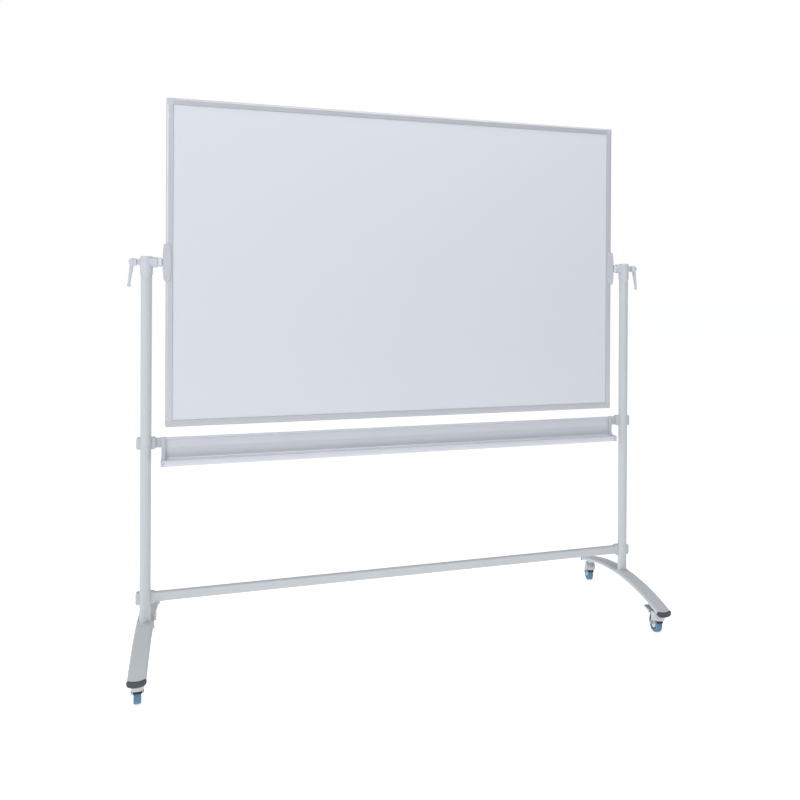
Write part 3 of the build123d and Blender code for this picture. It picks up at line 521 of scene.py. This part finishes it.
dressed = dress(stand_paint, "post_left", "post_right", "foot_left", "foot_right")
dressed += dress(stand_paint, "crossbar", "tray_arms")
dress(cast_paint, "crossbar_clamp")
dressed += dress(cast_paint, "pivot_tee", "tray_clamp", "lever_handle")
dressed += dress(corner_plastic, "pivot_bracket", "frame_corners", "tray_cap")
dressed += dress(bush_plastic, "pivot_bushes")
dressed += dress(cap_plastic, "foot_caps")
dressed += dress(rail_across, "frame_rail_top", "frame_rail_bottom", "pen_tray")
dressed += dress(rail_upright, "frame_rail_left", "frame_rail_right")
dressed += dress(bright_zinc, "castor_", "post_base", "clamp_screws", "bracket_screws")
dressed += dress(bright_zinc, "pivot_shaft", "lever_stud")
dressed += dress(writing_enamel, "writing_sheet")
dressed += dress(core_fibre, "board_core")
CORNERS = ("front_left", "front_right", "rear_left", "rear_right")
for corner in CORNERS:
    dress(tyre_rubber, f"castor_{corner}_tyre")
    dress(rim_plastic, f"castor_{corner}_rim")
    dress(hub_plastic, f"castor_{corner}_hub")
print("parts dressed:", dressed)

# %% [markdown]
# ## Pieces that follow a rule
# Some pieces are better described than carved: a tube that is bent to an
# arc, a section that is drawn along a line, a bead that repeats round a
# ring. Geometry Nodes hold such a rule with its sizes as named inputs. Each
# rule below is run once, and its result becomes a plain mesh.

# %% Helpers for the rules
NUMBER, WHOLE, FINISH = "NodeSocketFloat", "NodeSocketInt", "NodeSocketMaterial"


class Rule:
    """A Geometry Nodes tree with named inputs, and short calls to add to it."""

    def __init__(self, name, inputs):
        self.tree = bpy.data.node_groups.new(name, "GeometryNodeTree")
        face = self.tree.interface
        face.new_socket("Geometry", in_out="INPUT", socket_type="NodeSocketGeometry")
        for label, kind in inputs:
            face.new_socket(label, in_out="INPUT", socket_type=kind)
        face.new_socket("Geometry", in_out="OUTPUT", socket_type="NodeSocketGeometry")
        self.given = self.tree.nodes.new("NodeGroupInput").outputs
        self.made = self.tree.nodes.new("NodeGroupOutput").inputs

    def add(self, kind, settings=(), **values):
        """Add a node; its inputs are named with _ for a space, as numbers or sockets."""
        node = self.tree.nodes.new(kind)
        for label, value in dict(settings).items():
            setattr(node, label, value)
        for label, value in values.items():
            self.feed(node, label.replace("_", " "), value)
        return node

    def feed(self, node, label, value):
        """Set or link an input, by its name or its number."""
        socket = node.inputs[label]
        if isinstance(value, bpy.types.NodeSocket):
            self.tree.links.new(value, socket)
        else:
            socket.default_value = value

    def sum(self, operation, *values):
        """A Math node on numbers or sockets."""
        node = self.add("ShaderNodeMath", {"operation": operation})
        for number, value in enumerate(values):
            self.feed(node, number, value)
        return node.outputs[0]

    def circle(self, radius, distance):
        """How high a circle stands at a distance from its middle."""
        radius_squared = self.sum("MULTIPLY", radius, radius)
        distance_squared = self.sum("MULTIPLY", distance, distance)
        return self.sum("SQRT", self.sum("SUBTRACT", radius_squared, distance_squared))

    def vector(self, x=0.0, y=0.0, z=0.0):
        """A vector from three numbers or sockets."""
        return self.add("ShaderNodeCombineXYZ", X=x, Y=y, Z=z).outputs[0]

    def finish_with(self, geometry, material):
        """Realize Instances and Set Material, then the output."""
        real = self.add("GeometryNodeRealizeInstances", Geometry=geometry)
        painted = self.add("GeometryNodeSetMaterial", Geometry=real.outputs[0], Material=material)
        self.tree.links.new(painted.outputs[0], self.made[0])
        return self.tree


def smooth_over(mesh, angle=32.0):
    """Smooth shading, with edges sharper than the angle kept crisp."""
    mesh.polygons.foreach_set("use_smooth", [True] * len(mesh.polygons))
    mesh.set_sharp_from_angle(angle=radians(angle))
    mesh.update()


def outward(mesh):
    """Turn every face of a closed shape to look outward."""
    shape = bmesh.new()
    shape.from_mesh(mesh)
    bmesh.ops.recalc_face_normals(shape, faces=shape.faces)
    shape.to_mesh(mesh)
    shape.free()


def size_of(thing):
    """The piece's lengths along X, Y and Z in millimetres."""
    lengths = []
    for axis in range(3):
        values = [corner[axis] for corner in thing.bound_box]
        lengths.append(round(1000 * (max(values) - min(values)), 1))
    return lengths


def run_rule(name, tree, values, seed_mesh=None):
    """Run a tree on a mesh, keep the result as a plain mesh and drop the modifier."""
    start = seed_mesh or bpy.data.meshes.new(name + "_seed")
    thing = bpy.data.objects.new(name, start)
    bpy.context.collection.objects.link(thing)
    rule = thing.modifiers.new("rule", "NODES")
    rule.node_group = tree
    for item in tree.interface.items_tree:
        if item.in_out == "INPUT" and item.name in values:
            rule[item.identifier] = values[item.name]
    seen = thing.evaluated_get(bpy.context.evaluated_depsgraph_get())
    result = bpy.data.meshes.new_from_object(seen)
    thing.modifiers.clear()
    outward(result)
    thing.data = result
    result.name = name
    smooth_over(result)
    bpy.context.view_layer.update()
    print(name, "faces", len(result.polygons), "size", size_of(thing), "mm")
    return thing


def fit_in(thing, body, slot, *replaced):
    """Let a piece ride on its body and stand for the parts it replaces. The slot is not used."""
    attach(thing, body)
    if replaced:
        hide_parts(*replaced)
    return thing


# %% [markdown]
# ### The arched feet
# Each foot is a flat oval tube that a roller bends to a shallow arch, so
# that the castors stand wide while the post meets the highest point. Its
# ends are cut to a bow in plan. The rule makes a straight tube first, pulls
# its ends to the bow, and then lifts every point to the arch: the height is
# that of a circle over the point's distance from the middle. Points that
# stand above each other stay so, and the ends stay upright.

# %% Sizes of the feet
POST_X = 0.5 * (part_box("post_right")[0].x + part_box("post_right")[1].x)
RING_RISE = 0.004
ARCH_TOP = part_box("post_left")[0].z - RING_RISE
FOOT_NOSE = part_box("foot_caps")[1].y
FOOT_WIDE, FOOT_THICK, FOOT_ROUND = 0.060, 0.015, 0.007
ARCH_RISE = 0.054
ARCH_RADIUS = (FOOT_NOSE**2 + ARCH_RISE**2) / (2 * ARCH_RISE)
ARCH_CENTRE = ARCH_TOP - FOOT_THICK / 2 - ARCH_RADIUS
CAP_LENGTH = 0.005
TUBE_REACH = FOOT_NOSE - CAP_LENGTH
BOW, CAP_HALF = 0.010, 0.031
BOW_RADIUS = (CAP_HALF**2 + BOW**2) / (2 * BOW)
print("feet: post at", round(POST_X, 4), "arch radius", round(ARCH_RADIUS, 3))


# %% The rule for an arched foot
def arched_foot_rule():
    rule = Rule("arched_foot", [
        ("Reach", NUMBER), ("Width", NUMBER), ("Thickness", NUMBER), ("Rounding", NUMBER),
        ("Bow Radius", NUMBER), ("Arch Radius", NUMBER), ("Arch Centre", NUMBER),
        ("Post Place", NUMBER), ("Cuts", WHOLE), ("Outline Points", WHOLE), ("Finish", FINISH),
    ])
    given = rule.given
    start = rule.vector(y=rule.sum("MULTIPLY", given["Reach"], -1.0))
    end = rule.vector(y=given["Reach"])
    line = rule.add("GeometryNodeCurvePrimitiveLine", Start=start, End=end)
    steps = rule.add("GeometryNodeResampleCurve", Curve=line.outputs[0], Count=given["Cuts"])
    section = rule.add(
        "GeometryNodeCurvePrimitiveQuadrilateral", Width=given["Width"], Height=given["Thickness"]
    )
    rounded = rule.add(
        "GeometryNodeFilletCurve", {"mode": "POLY"},
        Curve=section.outputs[0], Radius=given["Rounding"], Count=6,
    )
    outline = rule.add(
        "GeometryNodeResampleCurve", Curve=rounded.outputs[0], Count=given["Outline Points"]
    )
    tube = rule.add(
        "GeometryNodeCurveToMesh",
        Curve=steps.outputs[0], Profile_Curve=outline.outputs[0], Fill_Caps=True,
    )
    place = rule.add("GeometryNodeInputPosition").outputs[0]
    parts = rule.add("ShaderNodeSeparateXYZ", Vector=place)
    across, along, high = parts.outputs
    setback = rule.sum("SUBTRACT", given["Bow Radius"], rule.circle(given["Bow Radius"], across))
    share = rule.sum("DIVIDE", rule.sum("SUBTRACT", given["Reach"], setback), given["Reach"])
    travel = rule.sum("MULTIPLY", along, share)
    rise = rule.circle(rule.sum("ADD", given["Arch Radius"], high), travel)
    bent = rule.vector(x=across, y=travel, z=rule.sum("ADD", rise, given["Arch Centre"]))
    arch = rule.add("GeometryNodeSetPosition", Geometry=tube.outputs[0], Position=bent)
    both = rule.add("GeometryNodeJoinGeometry")
    for sign in (1.0, -1.0):
        shift = rule.vector(x=rule.sum("MULTIPLY", given["Post Place"], sign))
        foot = rule.add("GeometryNodeTransform", Geometry=arch.outputs[0], Translation=shift)
        rule.tree.links.new(foot.outputs[0], both.inputs[0])
    return rule.finish_with(both.outputs[0], given["Finish"])


feet = run_rule("arched_feet", arched_foot_rule(), {
    "Reach": TUBE_REACH, "Width": FOOT_WIDE, "Thickness": FOOT_THICK, "Rounding": FOOT_ROUND,
    "Bow Radius": BOW_RADIUS, "Arch Radius": ARCH_RADIUS, "Arch Centre": ARCH_CENTRE,
    "Post Place": POST_X, "Cuts": 65, "Outline Points": 112, "Finish": stand_paint,
})
fit_in(feet, "stand", "stand_paint", "foot_left", "foot_right")

# %% [markdown]
# ### The collars and their welds
# A turned collar is welded to the top of each foot, and the post drops over
# it. The collar is a lathe shape, so a short outline is spun round the
# post's axis. The weld is a row of overlapping beads: one small bead is
# repeated round a circle, each a little different, as a welder leaves them.

# %% Lathe helper and collars
def lathe(name, outline, axis_place, material, first=0.0, last=360.0, turns=64):
    """Spin an outline of (radius, height) points about an upright axis at axis_place."""
    shape = bmesh.new()
    whole = last - first == 360.0
    count = turns if whole else turns + 1
    rows = []
    for radius, height in outline:
        ring = []
        for step in range(count):
            angle = radians(first + (last - first) * step / turns)
            ring.append(shape.verts.new((radius * cos(angle), radius * sin(angle), height)))
        rows.append(ring)
    for low, high in zip(rows, rows[1:] + rows[:1]):
        for step in range(turns):
            after = (step + 1) % count
            shape.faces.new((low[step], low[after], high[after], high[step]))
    if not whole:
        shape.faces.new([ring[0] for ring in rows])
        shape.faces.new([ring[-1] for ring in rows])
    bmesh.ops.recalc_face_normals(shape, faces=shape.faces)
    mesh = bpy.data.meshes.new(name)
    shape.to_mesh(mesh)
    shape.free()
    mesh.transform(Matrix.Translation(axis_place))
    mesh.materials.append(material)
    smooth_over(mesh)
    thing = bpy.data.objects.new(name, mesh)
    bpy.context.collection.objects.link(thing)
    return thing


POST_RADIUS, RING_RADIUS, RING_BORE = 0.019, 0.0225, 0.0165
RING_SINK = -0.0020
collar_outline = [
    (RING_BORE, RING_SINK), (RING_RADIUS, RING_SINK), (RING_RADIUS, 0.0030),
    (RING_RADIUS - 0.0004, 0.0037), (RING_RADIUS - 0.0012, RING_RISE), (RING_BORE, RING_RISE),
]
for side, place in (("left", -POST_X), ("right", POST_X)):
    collar = lathe("post_collar_" + side, collar_outline, (place, 0.0, ARCH_TOP), stand_paint)
    fit_in(collar, "stand", "stand_paint")
print("collars", size_of(collar), "mm")


# %% The rule for a weld
def weld_rule():
    rule = Rule("ring_weld", [
        ("Ring Radius", NUMBER), ("Bead", NUMBER), ("Beads", WHOLE), ("Level", NUMBER),
        ("Post Place", NUMBER), ("Unevenness", NUMBER), ("Seed", WHOLE), ("Finish", FINISH),
    ])
    given = rule.given
    circle = rule.add(
        "GeometryNodeCurvePrimitiveCircle", Resolution=given["Beads"], Radius=given["Ring Radius"]
    )
    spots = rule.add("GeometryNodeCurveToPoints", {"mode": "EVALUATED"}, Curve=circle.outputs[0])
    bead = rule.add("GeometryNodeMeshIcoSphere", Radius=given["Bead"], Subdivisions=2)
    uneven = rule.add("FunctionNodeRandomValue", {"data_type": "FLOAT"}, Seed=given["Seed"])
    rule.feed(uneven, 2, rule.sum("SUBTRACT", 1.0, given["Unevenness"]))
    rule.feed(uneven, 3, rule.sum("ADD", 1.0, given["Unevenness"]))
    stretch = rule.vector(x=1.0, y=1.0, z=0.8)
    swell = rule.add("ShaderNodeVectorMath", {"operation": "SCALE"})
    rule.feed(swell, 0, stretch)
    rule.feed(swell, "Scale", uneven.outputs[1])
    ring = rule.add(
        "GeometryNodeInstanceOnPoints",
        Points=spots.outputs[0], Instance=bead.outputs[0], Scale=swell.outputs[0],
    )
    both = rule.add("GeometryNodeJoinGeometry")
    for sign in (-1.0, 1.0):
        shift = rule.vector(x=rule.sum("MULTIPLY", given["Post Place"], sign), z=given["Level"])
        moved = rule.add("GeometryNodeTransform", Geometry=ring.outputs[0], Translation=shift)
        rule.tree.links.new(moved.outputs[0], both.inputs[0])
    return rule.finish_with(both.outputs[0], given["Finish"])


welds = run_rule("collar_welds", weld_rule(), {
    "Ring Radius": RING_RADIUS + 0.0004, "Bead": 0.0017, "Beads": 60, "Level": ARCH_TOP,
    "Post Place": POST_X, "Unevenness": 0.15, "Seed": 4, "Finish": stand_paint,
})
fit_in(welds, "stand", "stand_paint")

# %% [markdown]
# ### The pen tray
# The tray is one aluminium extrusion: a rolled top edge, a tall back with a
# shallow crease, a rounded cove, a flat floor and a lip that folds down in
# front. An extrusion is a drawn outline and a length, so the outline is
# drawn once as a closed line and the rule sweeps it along the board.

# %% Draw the tray's outline
def arc(middle, radius, first, last, steps=6):
    """Points on an arc, from one angle in degrees to another."""
    turns = [radians(first + (last - first) * k / steps) for k in range(steps + 1)]
    return [(middle[0] + radius * cos(t), middle[1] + radius * sin(t)) for t in turns]


tray_low, tray_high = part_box("pen_tray")
LIP_Y, BACK_Y = tray_low.y, tray_high.y
SKIRT_Z, ROLL_Z = tray_low.z, tray_high.z
SHEET, BACK_HIGH, LIP_RISE, CREASE_DROP = 0.0018, 0.080, 0.0034, 0.002
ROLL, LIP_ROLL, COVE, CREASE = 0.004, 0.0022, 0.007, 0.0009
FLOOR_Z = ROLL_Z - BACK_HIGH
WALL_Y = BACK_Y - SHEET
LIP_TOP = FLOOR_Z + LIP_RISE
CREASE_Z = (ROLL_Z + FLOOR_Z) / 2 - CREASE_DROP

tray_outline = (
    arc((LIP_Y + LIP_ROLL, LIP_TOP - LIP_ROLL), LIP_ROLL, 180, 10)
    + [(LIP_Y + 2 * LIP_ROLL, FLOOR_Z)]
    + arc((WALL_Y - COVE, FLOOR_Z + COVE), COVE, -90, 0, 8)
    + arc((WALL_Y, CREASE_Z), CREASE, -90, -270, 4)
    + arc((BACK_Y - ROLL, ROLL_Z - ROLL), ROLL, -56, -360, 16)
    + arc((WALL_Y, FLOOR_Z), SHEET, 0, -90, 4)
    + [(LIP_Y + SHEET, FLOOR_Z - SHEET), (LIP_Y + SHEET, SKIRT_Z + 2 * LIP_ROLL)]
    + arc((LIP_Y + LIP_ROLL, SKIRT_Z + LIP_ROLL), LIP_ROLL, 90, -180, 10)
)
print("tray outline:", len(tray_outline), "points")


# %% The rule for an extrusion
def extrusion_rule():
    rule = Rule("extrusion", [("Length", NUMBER), ("Cuts", WHOLE), ("Finish", FINISH)])
    given = rule.given
    half = rule.sum("MULTIPLY", given["Length"], 0.5)
    line = rule.add(
        "GeometryNodeCurvePrimitiveLine",
        Start=rule.vector(x=rule.sum("MULTIPLY", half, -1.0)), End=rule.vector(x=half),
    )
    steps = rule.add("GeometryNodeResampleCurve", Curve=line.outputs[0], Count=given["Cuts"])
    section = rule.add("GeometryNodeMeshToCurve", Mesh=given["Geometry"])
    bar = rule.add(
        "GeometryNodeCurveToMesh",
        Curve=steps.outputs[0], Profile_Curve=section.outputs[0], Fill_Caps=True,
    )
    turned = rule.add(
        "GeometryNodeTransform", Geometry=bar.outputs[0], Rotation=(pi, 0.0, 0.0)
    )
    return rule.finish_with(turned.outputs[0], given["Finish"])


EXTRUSION = extrusion_rule()


def closed_line(name, points):
    """A mesh of one closed loop of edges, drawn in its own XY plane."""
    mesh = bpy.data.meshes.new(name)
    count = len(points)
    edges = [(k, (k + 1) % count) for k in range(count)]
    mesh.from_pydata([(a, b, 0.0) for a, b in points], edges, [])
    return mesh


tray = run_rule(
    "pen_tray_extrusion", EXTRUSION,
    {"Length": tray_high.x - tray_low.x, "Cuts": 25, "Finish": lit_tray_metal},
    closed_line("tray_outline", tray_outline),
)
fit_in(tray, "stand", "anodised", "pen_tray")

# %% [markdown]
# ### The panel beads
# Where the enamelled sheet dips under the frame, a thin flexible bead closes
# the joint. It runs round the whole opening on both faces, so a rule sweeps
# a tiny round section along a rounded rectangle.

# %% The rule for a panel bead
def panel_bead_rule():
    rule = Rule("panel_bead", [
        ("Width", NUMBER), ("Height", NUMBER), ("Bead", NUMBER), ("Corner", NUMBER),
        ("Face", NUMBER), ("Level", NUMBER), ("Finish", FINISH),
    ])
    given = rule.given
    frame_line = rule.add(
        "GeometryNodeCurvePrimitiveQuadrilateral", Width=given["Width"], Height=given["Height"]
    )
    eased = rule.add(
        "GeometryNodeFilletCurve", {"mode": "POLY"},
        Curve=frame_line.outputs[0], Radius=given["Corner"], Count=4,
    )
    section = rule.add("GeometryNodeCurvePrimitiveCircle", Resolution=10, Radius=given["Bead"])
    bead = rule.add(
        "GeometryNodeCurveToMesh", Curve=eased.outputs[0], Profile_Curve=section.outputs[0]
    )
    both = rule.add("GeometryNodeJoinGeometry")
    for sign in (-1.0, 1.0):
        shift = rule.vector(y=rule.sum("MULTIPLY", given["Face"], sign), z=given["Level"])
        stood = rule.add(
            "GeometryNodeTransform",
            Geometry=bead.outputs[0], Translation=shift, Rotation=(pi / 2, 0.0, 0.0),
        )
        rule.tree.links.new(stood.outputs[0], both.inputs[0])
    return rule.finish_with(both.outputs[0], given["Finish"])


RAIL_FACE = 0.024
sheet_low, sheet_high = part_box("writing_sheet_front")
PIVOT_Z = 0.5 * (sheet_low.z + sheet_high.z)
BOARD_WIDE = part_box("frame_rail_right")[1].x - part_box("frame_rail_left")[0].x
BOARD_HIGH = 2 * (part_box("frame_rail_top")[1].z - PIVOT_Z)
beads = run_rule("panel_beads", panel_bead_rule(), {
    "Width": BOARD_WIDE - 2 * RAIL_FACE, "Height": BOARD_HIGH - 2 * RAIL_FACE,
    "Bead": 0.0009, "Corner": 0.002, "Face": -sheet_low.y, "Level": PIVOT_Z,
    "Finish": bead_rubber,
})
fit_in(beads, "board", "grey_plastic")

# %% [markdown]
# ### The screws
# The posts are held by pan-head screws with a cross recess: one low in each
# post, into the collar's spigot, and one behind each clamp. One head is made,
# with the cross cut out by a Boolean, and placed on points that each carry
# the direction it faces.

# %% The rule for screw heads
def screw_rule():
    rule = Rule("pan_head_screws", [
        ("Head Radius", NUMBER), ("Head Height", NUMBER), ("Crown", NUMBER), ("Dome", NUMBER),
        ("Slot Length", NUMBER), ("Slot Width", NUMBER), ("Finish", FINISH),
    ])
    given = rule.given
    head = rule.add(
        "GeometryNodeMeshCone", Vertices=32, Side_Segments=4, Fill_Segments=3,
        Radius_Top=rule.sum("MULTIPLY", given["Head Radius"], given["Crown"]),
        Radius_Bottom=given["Head Radius"], Depth=given["Head Height"],
    )
    place = rule.add("GeometryNodeInputPosition").outputs[0]
    high = rule.add("ShaderNodeSeparateXYZ", Vector=place).outputs[2]
    share = rule.sum("DIVIDE", high, given["Head Height"])
    hump = rule.sum("MULTIPLY", share, rule.sum("SUBTRACT", 1.0, share))
    swell = rule.sum("MULTIPLY_ADD", hump, given["Dome"], 1.0)
    domed = rule.add("ShaderNodeVectorMath", {"operation": "MULTIPLY"})
    rule.feed(domed, 0, place)
    rule.feed(domed, 1, rule.vector(x=swell, y=swell, z=1.0))
    pan = rule.add("GeometryNodeSetPosition", Geometry=head.outputs[0], Position=domed.outputs[0])
    slot_long = rule.sum("MULTIPLY", given["Head Radius"], given["Slot Length"])
    slot_wide = rule.sum("MULTIPLY", given["Head Radius"], given["Slot Width"])
    cut = pan.outputs[0]
    for length, width in ((slot_long, slot_wide), (slot_wide, slot_long)):
        blade_size = rule.vector(length, width, given["Head Height"])
        blade = rule.add("GeometryNodeMeshCube", Size=blade_size)
        raised = rule.add(
            "GeometryNodeTransform", Geometry=blade.outputs[0],
            Translation=rule.vector(z=rule.sum("MULTIPLY", given["Head Height"], 1.02)),
        )
        hollow = rule.add("GeometryNodeMeshBoolean", {"operation": "DIFFERENCE", "solver": "EXACT"})
        rule.tree.links.new(cut, hollow.inputs[0])
        rule.tree.links.new(raised.outputs[0], hollow.inputs[1])
        cut = hollow.outputs[0]
    facing = rule.add(
        "GeometryNodeInputNamedAttribute", {"data_type": "FLOAT_VECTOR"}, Name="facing"
    )
    turn = rule.add("FunctionNodeAlignRotationToVector", {"axis": "Z"}, Vector=facing.outputs[0])
    heads = rule.add(
        "GeometryNodeInstanceOnPoints",
        Points=given["Geometry"], Instance=cut, Rotation=turn.outputs[0],
    )
    return rule.finish_with(heads.outputs[0], given["Finish"])


def facing_points(name, places):
    """A mesh of loose points, each with the direction that its screw faces."""
    mesh = bpy.data.meshes.new(name)
    mesh.from_pydata([place for place, _ in places], [], [])
    facing = mesh.attributes.new("facing", "FLOAT_VECTOR", "POINT")
    for number, (_, direction) in enumerate(places):
        facing.data[number].vector = direction
    return mesh


SCREWS = screw_rule()
PAN_HEAD = {
    "Crown": 0.62, "Dome": 0.7, "Slot Length": 1.1, "Slot Width": 0.24, "Finish": bright_zinc,
}
BASE_RISE, BASE_TURN = 0.008, radians(35.0)
BASE_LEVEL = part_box("post_left")[0].z + BASE_RISE
base_places = []
for side in (-1, 1):
    out_way = Vector((-side * sin(BASE_TURN), -cos(BASE_TURN), 0.0))
    on_axis = Vector((side * POST_X, 0.0, BASE_LEVEL))
    base_places.append((on_axis + POST_RADIUS * out_way, out_way))
base_screws = run_rule(
    "post_base_screw_heads", SCREWS, {"Head Radius": 0.0048, "Head Height": 0.0025, **PAN_HEAD},
    facing_points("base_screw_places", base_places),
)
fit_in(base_screws, "stand", "zinc", "post_base_screws")

clamp_places = []
BACKWARD = Vector((0.0, 1.0, 0.0))
for clamp in ("crossbar_clamp", "tray_clamp"):
    for side, name in ((-1, "_left"), (1, "_right")):
        low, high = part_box(clamp + name)
        level = 0.5 * (low.z + high.z)
        clamp_places.append((Vector((side * POST_X, high.y, level)), BACKWARD))
clamp_heads = run_rule(
    "clamp_screw_heads", SCREWS, {"Head Radius": 0.006, "Head Height": 0.003, **PAN_HEAD},
    facing_points("clamp_screw_places", clamp_places),
)
fit_in(clamp_heads, "stand", "zinc", "clamp_screws")

# %% [markdown]
# ### The castors' painted shade
# Inside a castor's fork, over the wheel, the fork's own shadow falls, and a
# thin black sheet stands in for it there: painted shade, not a part of the
# castor. It follows the wheel, so the rule sweeps a flat section round part of
# a circle. Each castor is parked at its own small angle, as castors are after a push.

# %% The rule for a sheet of painted shade
def fork_shade_sheet_rule():
    rule = Rule("fork_shade_sheet", [
        ("Radius", NUMBER), ("From", NUMBER), ("Sweep", NUMBER),
        ("Width", NUMBER), ("Sheet", NUMBER), ("Finish", FINISH),
    ])
    given = rule.given
    bend = rule.add(
        "GeometryNodeCurveArc", {"mode": "RADIUS"}, Resolution=33,
        Radius=given["Radius"], Start_Angle=given["From"], Sweep_Angle=given["Sweep"],
    )
    section = rule.add(
        "GeometryNodeCurvePrimitiveQuadrilateral", Width=given["Sheet"], Height=given["Width"]
    )
    strip = rule.add(
        "GeometryNodeCurveToMesh",
        Curve=bend.outputs[0], Profile_Curve=section.outputs[0], Fill_Caps=True,
    )
    return rule.finish_with(strip.outputs[0], given["Finish"])


FORK_SHADE_SHEET = fork_shade_sheet_rule()
PARKED = dict(zip(CORNERS, (5.0, -5.0, 8.0, -12.0)))
STOOD_UP = Matrix(((0, 0, 1, 0), (1, 0, 0, 0), (0, 1, 0, 0), (0, 0, 0, 1)))
# Each black sheet is painted shade, put where the inside of the fork lies in shadow over the wheel.
for corner in CORNERS:
    low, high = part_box(f"castor_{corner}_tyre")
    hub = (low + high) / 2
    shade_sheet = run_rule("castor_shade_sheet_" + corner, FORK_SHADE_SHEET, {
        "Radius": 0.0393, "From": radians(62.0), "Sweep": radians(105.0),
        "Width": 0.0270, "Sheet": 0.0012, "Finish": rim_plastic,
    })
    turn = Matrix.Rotation(radians(PARKED[corner]), 4, "Z")
    shade_sheet.data.transform(Matrix.Translation(hub) @ turn @ STOOD_UP)
    fit_in(shade_sheet, corner + "_fork", "rim_plastic")
print("fork shade sheets made:", len(CORNERS))

# %% [markdown]
# The fork's crown is pressed from sheet, and its front is drawn down over
# the wheel like the peak of a cap. It is part of a lathe shape, so the same
# helper spins it, but only through the front of the turn.

# %% Fork peaks
CASTOR_INSET = 0.050
PEAK_FROM, PEAK_TO = 205.0, 335.0
PEAK_EDGE = 0.0290
race_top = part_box("castor_rear_left_fork")[1].z
peak_outline = [
    (0.0172, race_top - 0.0030), (0.0205, race_top - 0.0050), (0.0226, race_top - 0.0100),
    (0.0232, race_top - PEAK_EDGE), (0.0220, race_top - PEAK_EDGE), (0.0214, race_top - 0.0104),
    (0.0196, race_top - 0.0062), (0.0172, race_top - 0.0044),
]
for corner in CORNERS:
    across = 1.0 if corner.endswith("right") else -1.0
    along = -1.0 if corner.startswith("front") else 1.0
    place = Vector((across * POST_X, along * (FOOT_NOSE - CASTOR_INSET), 0.0))
    peak = lathe(
        "castor_peak_" + corner, peak_outline, place, bright_zinc,
        PEAK_FROM + PARKED[corner], PEAK_TO + PARKED[corner],
    )
    fit_in(peak, corner + "_fork", "zinc")
print("fork peaks", size_of(peak), "mm")
